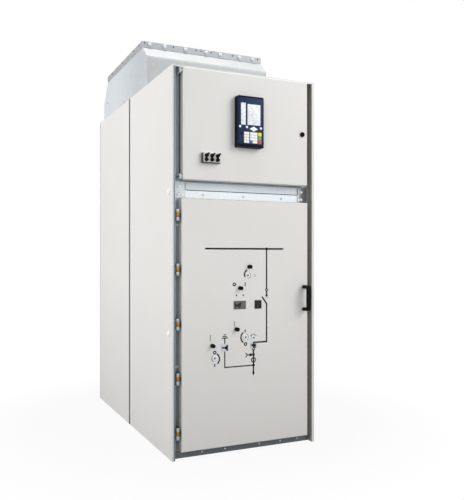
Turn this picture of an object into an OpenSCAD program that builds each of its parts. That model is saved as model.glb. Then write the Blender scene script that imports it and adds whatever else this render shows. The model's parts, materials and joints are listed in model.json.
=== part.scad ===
// Medium-voltage air-insulated switchgear panel: a sheet-steel cabinet with folded side panels,
// a control compartment above a switching compartment, each behind a hinged door,
// and a pressure-relief duct on the roof. Front faces -Y, +X is to the right, +Z is up.

/* [Cabinet] */
// Overall width across the side panels
panel_w = 840; // [760:10:1000]
// Depth of the side panels, front edge to rear edge
panel_d = 1550; // [1400:10:1800]
// Height of the side panels
panel_h = 2000; // [1990:10:2200]
// Thickness of the covering sheets
sheet_t = 2.5; // [1.5:0.5:4]
// Thickness of the galvanised frame sheets
frame_t = 3; // [2:0.5:4]
// Fold depth of the side and rear panels
pan_depth = 15; // [12:1:20]
// Outside radius of the folded edges
bend_r = 5; // [4.5:0.5:7]
// Open joint between the front and rear side panels
pan_gap = 15; // [8:1:30]
// Open joint between the two rear panels
rear_seam = 4; // [2:1:10]
// Height of the joint between the rear panels
rear_split_z = 1000; // [700:10:1300]

/* [Frame] */
// Set-back of the front frame behind the side panels
recess = 42; // [38:1:55]
// Width of a front post across its face
post_w = 46; // [38:1:48]
// Depth of a front post behind its face
post_d = 60; // [40:1:90]
// Width of the middle posts along the depth
mid_post_w = 60; // [40:1:90]
// Reach of the middle and rear posts into the cabinet
inner_post_w = 42; // [30:1:60]
// Width of the rear posts along the depth
rear_post_d = 60; // [40:1:90]
// Height of the base strip and base rails
base_h = 36; // [25:1:38]
// Width of the base rails' flanges
base_flange = 54; // [45:1:70]
// Distance of the foundation bolts from the ends of the base rails
bolt_inset = 70; // [40:5:150]
// Distance of the foundation bolts from the side panels' inner faces
bolt_side = 32; // [26:1:36]
// Radius of the foundation bolt holes
bolt_r = 7; // [5:0.5:9]
// Radius of the access holes in the floor above the bolts
access_r = 18; // [14:1:22]
// Bottom edge of the rail between the doors
rail_z0 = 1333; // [1333:1:1340]
// Joint between the rail's lower and upper bands
rail_z1 = 1372; // [1360:1:1385]
// Top edge of the rail between the doors
rail_z2 = 1416; // [1405:1:1416]
// Open line between the two bands
rail_joint = 2; // [1:0.5:4]
// Depth of the rail's rear folds
rail_fold = 30; // [20:1:50]
// Width of the corner plates on the rail
corner_w = 70; // [50:1:90]
// Height of the rail over the control door
top_rail_h = 45; // [30:1:60]

/* [Compartments] */
// Distance from the front frame to the control compartment's rear wall
lv_depth = 460; // [400:10:470]

/* [Switching compartment door] */
// Distance of the door's face ahead of the side panels
hv_proud = 8; // [4:1:12]
// Margin from the cabinet's side to the door's edge
hv_margin = 49; // [49:1:60]
// Bottom edge of the door
hv_z0 = 42; // [42:1:60]
// Top edge of the door
hv_z1 = 1328; // [1250:1:1328]
// Width of the door's rear lips
door_lip = 18; // [10:1:30]
// Gap between a closed door and the frame behind it
door_gap = 5; // [5:0.5:8]

/* [Control compartment door] */
// Distance of the door's face ahead of the side panels
lv_proud = 15; // [10:1:18]
// Margin from the cabinet's side to the door's edge
lv_margin = 55; // [55:1:65]
// Bottom edge of the door
lv_z0 = 1422; // [1422:1:1450]
// Top edge of the door
lv_z1 = 1990; // [1900:1:1990]
// Thickness of the folded door
lv_thick = 42; // [30:1:44]
// Width of the seal behind the door
seal_w = 14; // [8:1:16]
// Distance of the seal's upper and lower runs from the door's edges
seal_inset = 9; // [0:1:12]

/* [Hinges] */
// Number of hinges on the switching compartment door
hinge_count = 5; // [3:1:6]
// Height of the lowest hinge
hinge_z0 = 138; // [110:1:170]
// Spacing of the hinges
hinge_step = 276; // [200:1:290]
// Height of a hinge
hinge_h = 60; // [50:1:80]
// Height of a hinge's middle knuckle
knuckle_h = 22; // [16:1:30]
// Radius of the knuckles
hinge_r = 9; // [8:0.5:11]
// Radius of the hinge pins
pin_r = 5; // [3:0.5:6]
// Set-back of the hinge axis behind the door's face
hinge_back = 6; // [4:0.5:9]
// Clear width between the knuckles and the door's edge
hinge_side = 9; // [8:0.5:10]
// Height of a control door hinge
lv_hinge_h = 24; // [20:1:30]
// Height of a control door hinge's middle knuckle
lv_knuckle_h = 8; // [6:1:10]
// Radius of the control door's knuckles
lv_hinge_r = 5; // [4.5:0.5:6]
// Radius of the control door's hinge pins
lv_pin_r = 2.5; // [2:0.5:3]
// Set-back of the control door's hinge axis behind its face
lv_hinge_back = 7; // [5:0.5:9]
// Clear width between these knuckles and the door's edge
lv_hinge_side = 7; // [6:0.5:8]
// Distance of these hinges from the door's top and bottom edges
lv_hinge_inset = 16; // [15:1:60]
// Running clearance round the pins and spindles
pin_clear = 0.3; // [0.1:0.05:0.5]
// Gap between the knuckles of one hinge
knuckle_gap = 0.5; // [0.3:0.1:1]

/* [Handle] */
// Height of the door handle
handle_h = 140; // [110:1:180]
// Reach of the handle in front of the door
handle_reach = 60; // [45:1:75]
// Width of the handle's bar
handle_w = 24; // [18:1:28]
// Thickness of the handle's bar
handle_t = 18; // [14:1:20]
// Outer corner radius of the handle
handle_corner = 16; // [15:1:24]
// Distance of the handle's middle from the door's edge
handle_inset = 24; // [20:1:45]
// Height of the handle's middle
handle_z = 804; // [600:1:1000]

/* [Operating controls] */
// Radius of a knob
knob_r = 12; // [9:0.5:15]
// Reach of a knob in front of the door
knob_reach = 24; // [20:1:32]
// Radius of a knob's base collar
knob_collar_r = 12.5; // [10:0.5:15]
// Height of a knob's base collar
knob_collar_h = 3.5; // [2:0.5:5]
// Radius of a knob's neck
knob_neck_r = 8; // [6:0.5:10]
// Height of a knob's head
knob_head_h = 10; // [8:1:12]
// Slope on a knob's edges
knob_edge = 1.5; // [1:0.25:2]
// Width of the rib across a knob's head
rib_w = 4; // [2:0.5:6]
// Height of the rib across a knob's head
rib_h = 1; // [0.5:0.25:1]
// Length of a spindle behind its door's face
spindle_tail = 8; // [5:0.5:12]
// Radius of a knob's spindle
spindle_r = 4; // [3:0.5:5]
// Radius of an actuating socket
socket_r = 14; // [10:0.5:16]
// Height of an actuating socket in front of the door
socket_h = 4; // [2:0.5:8]
// Width across the flats of a socket's hexagon
socket_hex = 12; // [8:0.5:14]
// Radius of a socket's sleeve behind its flange
sleeve_r = 9.5; // [8.5:0.5:11]
// Length of a socket's sleeve behind the door's face
sleeve_depth = 30; // [20:1:36]
// Thickness of a sleeve's closed end
sleeve_end = 3; // [2:0.5:5]
// Gap between a turning piece's collar and its door
collar_gap = 0.3; // [0.2:0.1:0.6]
// Height of the indicator frames in front of the door
bezel_h = 3; // [2:0.5:6]
// Width of an indicator frame's border
bezel_w = 3; // [2:0.5:5]
// Width of the inspection window
window_w = 40; // [30:1:60]
// Height of the inspection window
window_h = 45; // [30:1:60]
// Width of a position indicator
indicator_w = 37; // [28:1:45]
// Height of a position indicator
indicator_h = 36; // [30:1:40]
// Width of the counter plate
counter_w = 71; // [50:1:80]
// Height of the counter plate
counter_h = 44; // [30:1:50]
// Thickness of the counter plate
counter_t = 2; // [1:0.5:4]

/* [Protection relay] */
// Width of the relay's front
relay_w = 150; // [120:1:180]
// Height of the relay's front
relay_h = 266; // [220:1:290]
// Reach of the relay in front of the door
relay_reach = 42; // [30:1:50]
// Thickness of the relay's face plate
relay_face_t = 8; // [5:0.5:12]
// Depth of the relay's case behind the door's face
relay_back = 150; // [100:1:200]
// Step from the relay's front down to its case
relay_step = 5; // [3:0.5:8]
// Wall of the relay's case
relay_wall = 3; // [2:0.5:5]
// Corner radius of the relay's front
relay_corner = 4; // [2:0.5:5]
// Width of the relay's screen
screen_w = 82; // [70:1:86]
// Height of the relay's screen
screen_h = 108; // [90:1:115]
// Width of the relay's strip of lamps
lamps_w = 30; // [20:1:34]
// Height of the relay's strip of lamps
lamps_h = 114; // [90:1:120]
// Radius of a round key
round_key_r = 6.5; // [5:0.25:7]
// Width of the arrow key
arrow_w = 50; // [40:1:56]
// Height of the arrow key
arrow_h = 26; // [20:1:30]
// Width of a square key
key_w = 12.5; // [9:0.5:13]
// Height of a square key
key_h = 12; // [9:0.5:13]
// Rise of the screen, lamps and keys from the relay's face
key_rise = 1.5; // [0.5:0.25:3]
// Height of the relay's middle
relay_z = 1735; // [1650:1:1800]
// Offset of the relay's middle from the door's middle
relay_x = -4; // [-100:1:100]

/* [Lock and test block] */
// Radius of the control door's lock
lock_r = 13.5; // [10:0.5:18]
// Reach of the lock in front of the door
lock_reach = 12; // [8:1:20]
// Height of the lock's round collar
lock_collar_h = 6; // [3:0.5:8]
// Thickness of the lock's finger wing
lock_wing_t = 7; // [4:0.5:9]
// Distance of the lock from the door's edge
lock_inset = 34; // [24:1:60]
// Height of the lock
lock_z = 1702; // [1600:1:1800]
// Width of the test block
block_w = 98; // [80:1:120]
// Height of the test block
block_h = 52; // [40:1:60]
// Reach of the test block in front of the door
block_reach = 24; // [12:1:30]
// Distance of the test block's middle from the door's hinge edge
block_inset = 147; // [125:1:185]
// Height of the test block's middle
block_z = 1536; // [1500:1:1560]
// Spacing of the test plugs
plug_step = 31; // [26:1:36]
// Radius of a test plug
plug_r = 8; // [6:0.5:10]
// Distance between a plug's two heads
plug_pair = 22; // [18:1:26]
// Reach of a plug in front of the block
plug_reach = 12; // [8:1:18]
// Length of a plug's lever from its upper head's middle
lever_l = 17; // [12:1:19]
// Width of a plug's lever
lever_w = 6; // [4:0.5:8]
// Tilt of a plug's lever above the horizontal
lever_tilt = 40; // [20:5:60]

/* [Pressure-relief duct] */
// Inset of the duct from the cabinet's sides
duct_inset = 28; // [20:1:40]
// Distance of the duct's front wall behind the side panels' front edge
duct_y = 518; // [510:1:560]
// Height of the front wall above the roof
duct_front_h = 196; // [150:1:220]
// Depth of the front slope
duct_front_run = 82; // [60:1:100]
// Height of the duct's shoulders above the roof
duct_shoulder_h = 268; // [240:1:280]
// Height of the rear wall above the roof
duct_rear_h = 135; // [100:1:160]
// Depth of the rear slope
duct_rear_run = 115; // [80:1:130]
// Height of the top cover's rim
rim_h = 40; // [30:1:55]
// Foot flange of the duct's walls on the roof
duct_foot = 25; // [15:1:40]

/* [Side caps] */
// Radius of the domed caps on the side panels
cap_r = 16; // [10:0.5:20]
// Height of a cap
cap_h = 8; // [5:0.5:10]
// Distance of the caps behind the side panels' front edge
cap_y = 47; // [30:1:80]
// Height of the lower cap
cap_z0 = 640; // [400:10:900]
// Height of the upper cap
cap_z1 = 1362; // [1100:1:1600]

/* [Hidden] */
$fn = 48;

// Finishes as the photograph shows them
paint = "gainsboro";
galvanised = "lightsteelblue";
dark_grey = "dimgray";
black = "#1b1c1e";

half_w = panel_w / 2;
pan_in = half_w - pan_depth;
front_y = -(panel_d - hv_proud - handle_reach) / 2;
rear_y = front_y + panel_d;
frame_y = front_y + recess;
roof_z = panel_h - sheet_t;
floor_z = base_h + sheet_t;
mid_y = front_y + panel_d / 2;
post_back = frame_y + post_d;
post_in = pan_in - post_w;
rear_in_y = rear_y - pan_depth;
rear_post_y = rear_in_y - rear_post_d;
partition_y = mid_y - mid_post_w / 2;
lv_back_y = frame_y + lv_depth;
lv_floor_z = rail_z2 - rail_fold / 2;

hv_x = half_w - hv_margin;
hv_face_y = front_y - hv_proud;
hv_thick = recess + hv_proud - door_gap;
hinge_x = -(hv_x + hinge_side + hinge_r);
hinge_y = hv_face_y + hinge_back;
hinge_heights = [for (i = [0:hinge_count - 1]) hinge_z0 + i * hinge_step];

lv_x = half_w - lv_margin;
lv_face_y = front_y - lv_proud;
seal_t = recess + lv_proud - lv_thick - door_gap;
lv_hinge_x = -(lv_x + lv_hinge_side + lv_hinge_r);
lv_hinge_y = lv_face_y + lv_hinge_back;
lv_hinge_heights = [lv_z0 + lv_hinge_inset, lv_z1 - lv_hinge_inset];
relay_face_y = lv_face_y - relay_reach;
block_x = block_inset - lv_x;

// Places of the controls on the switching compartment door: across from its middle, and up
racking_at = [9, 978];
release_at = [-45, 866];
closing_at = [-66, 651];
earthing_at = [-204, 572];
knob_places = [racking_at, release_at, closing_at, earthing_at];
racking_socket_at = [1, 932];
closing_socket_at = [-12, 605];
earthing_socket_at = [-189, 506];
breaker_socket_at = [35, 601];
socket_places = [racking_socket_at, closing_socket_at, earthing_socket_at, breaker_socket_at];
window_at = [62, 777];
counter_at = [-46, 777];
indicator_places = [[-132, 558], [35, 562]];

// Places on the relay's face: shares of its width from the left and of its height from the top
screen_at = [0.64, 0.355];
lamps_at = [0.21, 0.345];
arrow_at = [0.625, 0.635];
round_key_places = [[0.08, 0.605], [0.35, 0.61], [0.9, 0.615]];
key_columns = [0.3, 0.4, 0.53, 0.63, 0.73, 0.87];
key_rows = [0.73, 0.785, 0.84, 0.895];

duct_x = half_w - duct_inset;
duct_front_y = front_y + duct_y;
duct_neck_y = duct_front_y + duct_front_run;
duct_rear_y = rear_y - sheet_t;
duct_rear_neck_y = duct_rear_y - duct_rear_run;
duct_front_z = panel_h + duct_front_h;
duct_rear_z = panel_h + duct_rear_h;
duct_shoulder_z = panel_h + duct_shoulder_h;
duct_top_z = duct_shoulder_z + rim_h;
duct_wall_z = duct_top_z - bend_r;
cover_y0 = duct_neck_y - sheet_t;
cover_y1 = duct_rear_neck_y + sheet_t;

// Direction and mitred offset of a folded sheet's line
function unit(v) = v / norm(v);
function left_of(d) = [-d[1], d[0]];
function bend(a, p, b, t) =
  let (n1 = left_of(unit(p - a)), n2 = left_of(unit(b - p)), m = unit(n1 + n2))
  p + m * t / (m * n1);
function beside(pts, t) = [
  for (i = [0:len(pts) - 1])
    i == 0 ? pts[0] + t * left_of(unit(pts[1] - pts[0]))
    : i == len(pts) - 1 ? pts[i] + t * left_of(unit(pts[i] - pts[i - 1]))
    : bend(pts[i - 1], pts[i], pts[i + 1], t)
];

// A bent sheet's cross-section: the sheet lies to the left of the line through pts
module folded(pts, t) {
  back = beside(pts, t);
  polygon(concat(pts, [for (i = [len(pts) - 1:-1:0]) back[i]]));
}

// A box between two corners
module block(low, high) translate(low) cube(high - low);

// A profile drawn as [y, z], run along X between x0 and x1
module along_x(x0, x1)
  translate([x0, 0, 0]) rotate([90, 0, 90]) linear_extrude(x1 - x0) children();

// A profile drawn as [x, z], run along Y between y0 and y1
module along_y(y0, y1)
  translate([0, y1, 0]) rotate([90, 0, 0]) linear_extrude(y1 - y0) children();

// A profile drawn as [x, y], run up from z0 to z1
module along_z(z0, z1) translate([0, 0, z0]) linear_extrude(z1 - z0) children();

// Shapes for both sides of the cabinet
module both_sides() {
  children();
  mirror([1, 0, 0]) children();
}

// A shape standing on a door's face, pointing out of it
module on_face(at, face_y) translate([at[0], face_y, at[1]]) rotate([90, 0, 0]) children();

module rounded_rect(w, h, r) {
  square([w, h - 2 * r], center = true);
  square([w - 2 * r, h], center = true);
  for (sx = [-1, 1], sy = [-1, 1])
    translate([sx * (w / 2 - r), sy * (h / 2 - r)]) circle(r);
}

// A plate's outline with its two front corners rounded, drawn as [across, back]
module rounded_front(w, d, r) {
  translate([0, r]) square([w, d - r]);
  translate([r, 0]) square([w - 2 * r, d]);
  for (x = [r, w - r]) translate([x, r]) circle(r);
}

// A folded pan filled up: its face on y = 0, with all four of the face's edges rounded
module pan_form(w, d, h, r)
  intersection() {
    along_z(0, h) rounded_front(w, d, r);
    along_x(0, w) mirror([1, -1, 0]) rounded_front(h, d, r);
  }

// A folded pan, open at the back
module pan(w, d, h)
  difference() {
    pan_form(w, d, h, bend_r);
    translate([sheet_t, sheet_t, sheet_t])
      pan_form(w - 2 * sheet_t, d, h - 2 * sheet_t, bend_r - sheet_t);
  }

// Base
module base_front_strip()
  color(dark_grey) block([-pan_in + frame_t, frame_y - frame_t, 0], [pan_in - frame_t, frame_y, base_h]);

module foundation_holes(z0, z1, r)
  for (y = [post_back + bolt_inset, rear_post_y - bolt_inset])
    translate([-pan_in + bolt_side, y, z0]) cylinder(r = r, h = z1 - z0);

module base_side_rails()
  color(galvanised) both_sides() difference() {
    along_y(post_back, rear_post_y)
      folded([[-pan_in, base_h], [-pan_in, 0], [-pan_in + base_flange, 0]], frame_t);
    foundation_holes(-frame_t, 2 * frame_t, bolt_r);
  }

module base_cross_rails()
  color(galvanised)
    for (y = [mid_y, rear_post_y - base_flange])
      along_x(-pan_in + frame_t, pan_in - frame_t)
        folded([[y + base_flange / 2, base_h], [y, base_h], [y, frame_t]], frame_t);

module floor_plate()
  color(galvanised) difference() {
    block([-pan_in, frame_y, base_h], [pan_in, rear_in_y, floor_z]);
    both_sides() {
      block([-pan_in - 1, frame_y - 1, 0], [-post_in, post_back, panel_h]);
      block([-pan_in - 1, mid_y - mid_post_w / 2, 0],
            [-pan_in + inner_post_w, mid_y + mid_post_w / 2, panel_h]);
      block([-pan_in - 1, rear_post_y, 0], [-pan_in + inner_post_w, rear_in_y + 1, panel_h]);
      foundation_holes(0, panel_h, access_r);
    }
  }

// Side and rear panels: shallow pans, open towards the inside
module side_pan(y0, y1)
  color(paint) translate([-half_w, y1, 0]) rotate([0, 0, -90]) pan(y1 - y0, pan_depth, panel_h);

module left_front_side_panel() side_pan(front_y, mid_y - pan_gap / 2);
module left_rear_side_panel() side_pan(mid_y + pan_gap / 2, rear_y);
module right_front_side_panel() mirror([1, 0, 0]) left_front_side_panel();
module right_rear_side_panel() mirror([1, 0, 0]) left_rear_side_panel();

module rear_pan(z0, z1)
  color(paint) translate([pan_in, rear_y, z0]) rotate([0, 0, 180]) pan(2 * pan_in, pan_depth, z1 - z0);

module rear_lower_panel() rear_pan(base_h, rear_split_z - rear_seam / 2);
module rear_upper_panel() rear_pan(rear_split_z + rear_seam / 2, roof_z);

// Posts
module left_front_post()
  color(galvanised) along_z(0, roof_z)
    folded([[-pan_in + frame_t, front_y], [-pan_in + frame_t, frame_y],
            [-post_in, frame_y], [-post_in, post_back]], frame_t);

module right_front_post() mirror([1, 0, 0]) left_front_post();

module mid_posts()
  color(galvanised) both_sides() along_z(base_h, roof_z)
    folded([[-pan_in + inner_post_w, mid_y - mid_post_w / 2], [-pan_in, mid_y - mid_post_w / 2],
            [-pan_in, mid_y + mid_post_w / 2], [-pan_in + inner_post_w, mid_y + mid_post_w / 2]], -frame_t);

module rear_posts()
  color(galvanised) both_sides() along_z(0, roof_z)
    folded([[-pan_in, rear_post_y], [-pan_in, rear_in_y], [-pan_in + inner_post_w, rear_in_y]], -frame_t);

// Rail between the doors, in two bands with plates over its ends
module door_lintel()
  color(galvanised) along_x(-post_in, post_in)
    folded([[frame_y + rail_fold, rail_z0], [frame_y, rail_z0], [frame_y, rail_z1]], -frame_t);

module lv_sill()
  color(galvanised) along_x(-post_in, post_in)
    folded([[frame_y, rail_z1 + rail_joint], [frame_y, rail_z2], [frame_y + rail_fold, rail_z2]], -frame_t);

module rail_corner_plates()
  color(galvanised) both_sides()
    block([-pan_in + frame_t, frame_y - frame_t, rail_z0],
          [-pan_in + frame_t + corner_w, frame_y, rail_z2]);

module top_rail()
  color(galvanised) along_x(-post_in, post_in)
    folded([[frame_y, roof_z - top_rail_h], [frame_y, roof_z], [frame_y + rail_fold, roof_z]], -frame_t);

// Compartment walls
module lv_floor()
  color(galvanised) difference() {
    block([-pan_in, frame_y + frame_t, lv_floor_z], [pan_in, lv_back_y, lv_floor_z + sheet_t]);
    both_sides() block([-pan_in - 1, frame_y, 0], [-post_in, post_back, panel_h]);
  }

module lv_back_wall()
  color(galvanised) block([-pan_in, lv_back_y, lv_floor_z], [pan_in, lv_back_y + sheet_t, roof_z]);

module lv_seal()
  color(black) difference() {
    block([-lv_x, frame_y - seal_t, lv_z0 + seal_inset], [lv_x, frame_y, lv_z1 - seal_inset]);
    block([-lv_x + seal_w, frame_y - seal_t - 1, lv_z0 + seal_inset + seal_w],
          [lv_x - seal_w, frame_y + 1, lv_z1 - seal_inset - seal_w]);
  }

module partition()
  color(galvanised)
    block([-pan_in, partition_y - sheet_t, floor_z], [pan_in, partition_y, roof_z]);

module roof_plate()
  color(galvanised) block([-pan_in, front_y, roof_z], [pan_in, rear_y, panel_h]);

// Pressure-relief duct
module duct_front_wall()
  color(galvanised) along_x(-duct_x + sheet_t, duct_x - sheet_t)
    folded([[duct_front_y + duct_foot, panel_h], [duct_front_y, panel_h], [duct_front_y, duct_front_z],
            [duct_neck_y, duct_shoulder_z], [duct_neck_y, duct_wall_z]], -sheet_t);

module duct_rear_wall()
  color(galvanised) along_x(-duct_x + sheet_t, duct_x - sheet_t)
    folded([[duct_rear_y - duct_foot, panel_h], [duct_rear_y, panel_h], [duct_rear_y, duct_rear_z],
            [duct_rear_neck_y, duct_shoulder_z], [duct_rear_neck_y, duct_wall_z]], sheet_t);

module duct_left_end()
  color(galvanised) along_x(-duct_x, -duct_x + sheet_t)
    polygon([[duct_front_y, panel_h], [duct_front_y, duct_front_z], [duct_neck_y, duct_shoulder_z],
             [duct_neck_y, duct_wall_z], [duct_rear_neck_y, duct_wall_z],
             [duct_rear_neck_y, duct_shoulder_z], [duct_rear_y, duct_rear_z], [duct_rear_y, panel_h]]);

module duct_right_end() mirror([1, 0, 0]) duct_left_end();

module duct_top_cover()
  color(galvanised) translate([-duct_x - sheet_t, cover_y0, duct_top_z]) rotate([-90, 0, 0])
    pan(2 * (duct_x + sheet_t), rim_h, cover_y1 - cover_y0);

// Hinges: outer knuckles, pin and lugs on the post, middle knuckle on the door
module hinge_bracket(r, h, mid_h, p_r, reach) {
  end_h = (h - mid_h) / 2 - knuckle_gap;
  cylinder(r = p_r, h = h, center = true);
  for (s = [-1, 1]) translate([0, 0, s * (h - end_h) / 2]) {
    cylinder(r = r, h = end_h, center = true);
    translate([-r, 0, -end_h / 2]) cube([2 * r, reach, end_h]);
  }
}

module hinge_knuckle(r, mid_h, p_r, side)
  difference() {
    union() {
      cylinder(r = r, h = mid_h, center = true);
      translate([0, 0, -mid_h / 2]) cube([r + side, r, mid_h]);
    }
    cylinder(r = p_r + pin_clear, h = 2 * mid_h, center = true);
  }

module hv_hinge_brackets()
  color("silver")
    for (z = hinge_heights)
      translate([hinge_x, hinge_y, z]) hinge_bracket(hinge_r, hinge_h, knuckle_h, pin_r, frame_y - hinge_y);

module hv_hinge_knuckles()
  color("goldenrod")
    for (z = hinge_heights)
      translate([hinge_x, hinge_y, z]) hinge_knuckle(hinge_r, knuckle_h, pin_r, hinge_side);

module lv_hinge_brackets()
  color("silver")
    for (z = lv_hinge_heights)
      translate([lv_hinge_x, lv_hinge_y, z])
        hinge_bracket(lv_hinge_r, lv_hinge_h, lv_knuckle_h, lv_pin_r, frame_y - lv_hinge_y);

module lv_hinge_knuckles()
  color("silver")
    for (z = lv_hinge_heights)
      translate([lv_hinge_x, lv_hinge_y, z]) hinge_knuckle(lv_hinge_r, lv_knuckle_h, lv_pin_r, lv_hinge_side);

module side_caps()
  color("white") both_sides()
    for (z = [cap_z0, cap_z1])
      translate([-half_w, front_y + cap_y, z]) rotate([0, -90, 0]) intersection() {
        cylinder(r = cap_r, h = cap_h);
        translate([0, 0, cap_h - cap_r * cap_r / cap_h]) sphere(cap_r * cap_r / cap_h);
      }

// Doors: folded pans with lips turned in at the back
module door_pan(half, face_y, z0, z1, thick)
  difference() {
    translate([-half, face_y, z0]) pan_form(2 * half, thick, z1 - z0, bend_r);
    translate([-half + sheet_t, face_y + sheet_t, z0 + sheet_t])
      pan_form(2 * (half - sheet_t), thick - 2 * sheet_t, z1 - z0 - 2 * sheet_t, bend_r - sheet_t);
    block([-half + door_lip, face_y + sheet_t, z0 + door_lip],
          [half - door_lip, face_y + thick + 1, z1 - door_lip]);
  }

module hv_door_panel()
  color(paint) difference() {
    door_pan(hv_x, hv_face_y, hv_z0, hv_z1, hv_thick);
    for (at = knob_places)
      on_face(at, hv_face_y) cylinder(r = spindle_r + pin_clear, h = 4 * sheet_t, center = true);
    for (at = socket_places)
      on_face(at, hv_face_y) cylinder(r = sleeve_r + pin_clear, h = 4 * sheet_t, center = true);
  }

module lv_door_panel()
  color(paint) difference() {
    door_pan(lv_x, lv_face_y, lv_z0, lv_z1, lv_thick);
    block([relay_x - relay_w / 2 + relay_step, lv_face_y - 1, relay_z - relay_h / 2 + relay_step],
          [relay_x + relay_w / 2 - relay_step, lv_face_y + 2 * sheet_t, relay_z + relay_h / 2 - relay_step]);
    on_face([lv_x - lock_inset, lock_z], lv_face_y)
      cylinder(r = spindle_r + pin_clear, h = 4 * sheet_t, center = true);
  }

// A bow handle: a rounded loop cut off at the door's face
module hv_door_handle()
  color(black) translate([hv_x - handle_inset, hv_face_y, handle_z])
    along_x(-handle_w / 2, handle_w / 2) intersection() {
      difference() {
        rounded_rect(2 * handle_reach, handle_h, handle_corner);
        rounded_rect(2 * (handle_reach - handle_t), handle_h - 2 * handle_t, handle_corner - handle_t / 2);
      }
      translate([-handle_reach, -handle_h / 2]) square([handle_reach, handle_h]);
    }

// Controls on the switching compartment door
module knob(at)
  color(black) on_face(at, hv_face_y) {
    rotate_extrude()
      polygon([[0, -spindle_tail], [spindle_r, -spindle_tail], [spindle_r, collar_gap],
               [knob_collar_r, collar_gap], [knob_collar_r, knob_collar_h],
               [knob_neck_r, knob_collar_h + knob_edge], [knob_neck_r, knob_reach - knob_head_h - knob_edge],
               [knob_r, knob_reach - knob_head_h], [knob_r, knob_reach - knob_edge],
               [knob_r - knob_edge, knob_reach - rib_h], [0, knob_reach - rib_h]]);
    translate([-rib_w / 2, -knob_r + knob_edge, knob_reach - 2 * rib_h])
      cube([rib_w, 2 * (knob_r - knob_edge), 2 * rib_h]);
  }

module racking_knob() knob(racking_at);
module release_knob() knob(release_at);
module closing_knob() knob(closing_at);
module earthing_knob() knob(earthing_at);

module actuating_sockets()
  color("silver")
    for (at = socket_places)
      on_face(at, hv_face_y) difference() {
        union() {
          cylinder(r = socket_r, h = socket_h);
          translate([0, 0, -sleeve_depth]) cylinder(r = sleeve_r, h = sleeve_depth + socket_h / 2);
        }
        translate([0, 0, sleeve_end - sleeve_depth])
          cylinder(d = socket_hex / cos(30), h = 2 * sleeve_depth, $fn = 6);
      }

module framed_window(at, w, h)
  on_face(at, hv_face_y) difference() {
    translate([-w / 2, -h / 2, 0]) cube([w, h, bezel_h]);
    translate([-w / 2 + bezel_w, -h / 2 + bezel_w, bezel_h / 2])
      cube([w - 2 * bezel_w, h - 2 * bezel_w, bezel_h]);
  }

module inspection_window() color(black) framed_window(window_at, window_w, window_h);

module position_indicators()
  color("white")
    for (at = indicator_places) framed_window(at, indicator_w, indicator_h);

module counter_plate()
  color(dark_grey) on_face(counter_at, hv_face_y)
    translate([-counter_w / 2, -counter_h / 2, 0]) cube([counter_w, counter_h, counter_t]);

// Protection relay: a case let into the control door, closed by a face plate
module relay_front(y0, y1)
  along_y(y0, y1) translate([relay_x, relay_z]) rounded_rect(relay_w, relay_h, relay_corner);

// A flat outline raised on the relay's face at a place given in shares
module on_relay(at)
  on_face([relay_x + (at[0] - 0.5) * relay_w, relay_z + (0.5 - at[1]) * relay_h], relay_face_y)
    linear_extrude(key_rise) children();

module relay_case()
  color(black) difference() {
    union() {
      relay_front(relay_face_y + relay_face_t, lv_face_y);
      block([relay_x - relay_w / 2 + relay_step, lv_face_y - 1, relay_z - relay_h / 2 + relay_step],
            [relay_x + relay_w / 2 - relay_step, lv_face_y + relay_back, relay_z + relay_h / 2 - relay_step]);
    }
    block([relay_x - relay_w / 2 + relay_step + relay_wall, relay_face_y,
           relay_z - relay_h / 2 + relay_step + relay_wall],
          [relay_x + relay_w / 2 - relay_step - relay_wall, lv_face_y + relay_back - relay_wall,
           relay_z + relay_h / 2 - relay_step - relay_wall]);
  }

module relay_faceplate()
  color("midnightblue") relay_front(relay_face_y, relay_face_y + relay_face_t);

module relay_display()
  color("lightgray") {
    on_relay(screen_at) square([screen_w, screen_h], center = true);
    on_relay(lamps_at) square([lamps_w, lamps_h], center = true);
  }

module relay_keys()
  color("whitesmoke") {
    for (at = round_key_places) on_relay(at) circle(round_key_r);
    on_relay(arrow_at)
      polygon([[-arrow_w / 2, 0], [0, -arrow_h / 2], [arrow_w / 2, 0], [0, arrow_h / 2]]);
    for (u = key_columns, v = key_rows) on_relay([u, v]) square([key_w, key_h], center = true);
  }

// Voltage test block with a row of double plugs
module test_block()
  color(paint) on_face([block_x, block_z], lv_face_y)
    translate([-block_w / 2, -block_h / 2, 0]) cube([block_w, block_h, block_reach]);

module test_plugs()
  color(black)
    for (i = [-1:1])
      on_face([block_x + i * plug_step, block_z], lv_face_y - block_reach) {
        for (s = [-1, 1]) translate([0, s * plug_pair / 2, 0]) cylinder(r = plug_r, h = plug_reach);
        translate([-plug_r / 2, -plug_pair / 2, 0]) cube([plug_r, plug_pair, plug_reach / 2]);
        translate([0, plug_pair / 2, 0]) rotate(lever_tilt)
          translate([0, -lever_w / 2, plug_reach / 2]) cube([lever_l, lever_w, plug_reach / 2]);
      }

module lv_lock()
  color(black) on_face([lv_x - lock_inset, lock_z], lv_face_y) {
    translate([0, 0, -spindle_tail]) cylinder(r = spindle_r, h = spindle_tail + lock_collar_h);
    translate([0, 0, collar_gap]) cylinder(r = lock_r, h = lock_collar_h - collar_gap);
    translate([-lock_wing_t / 2, -lock_r + lock_wing_t / 2, collar_gap])
      cube([lock_wing_t, 2 * lock_r - lock_wing_t, lock_reach - collar_gap]);
  }

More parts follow.
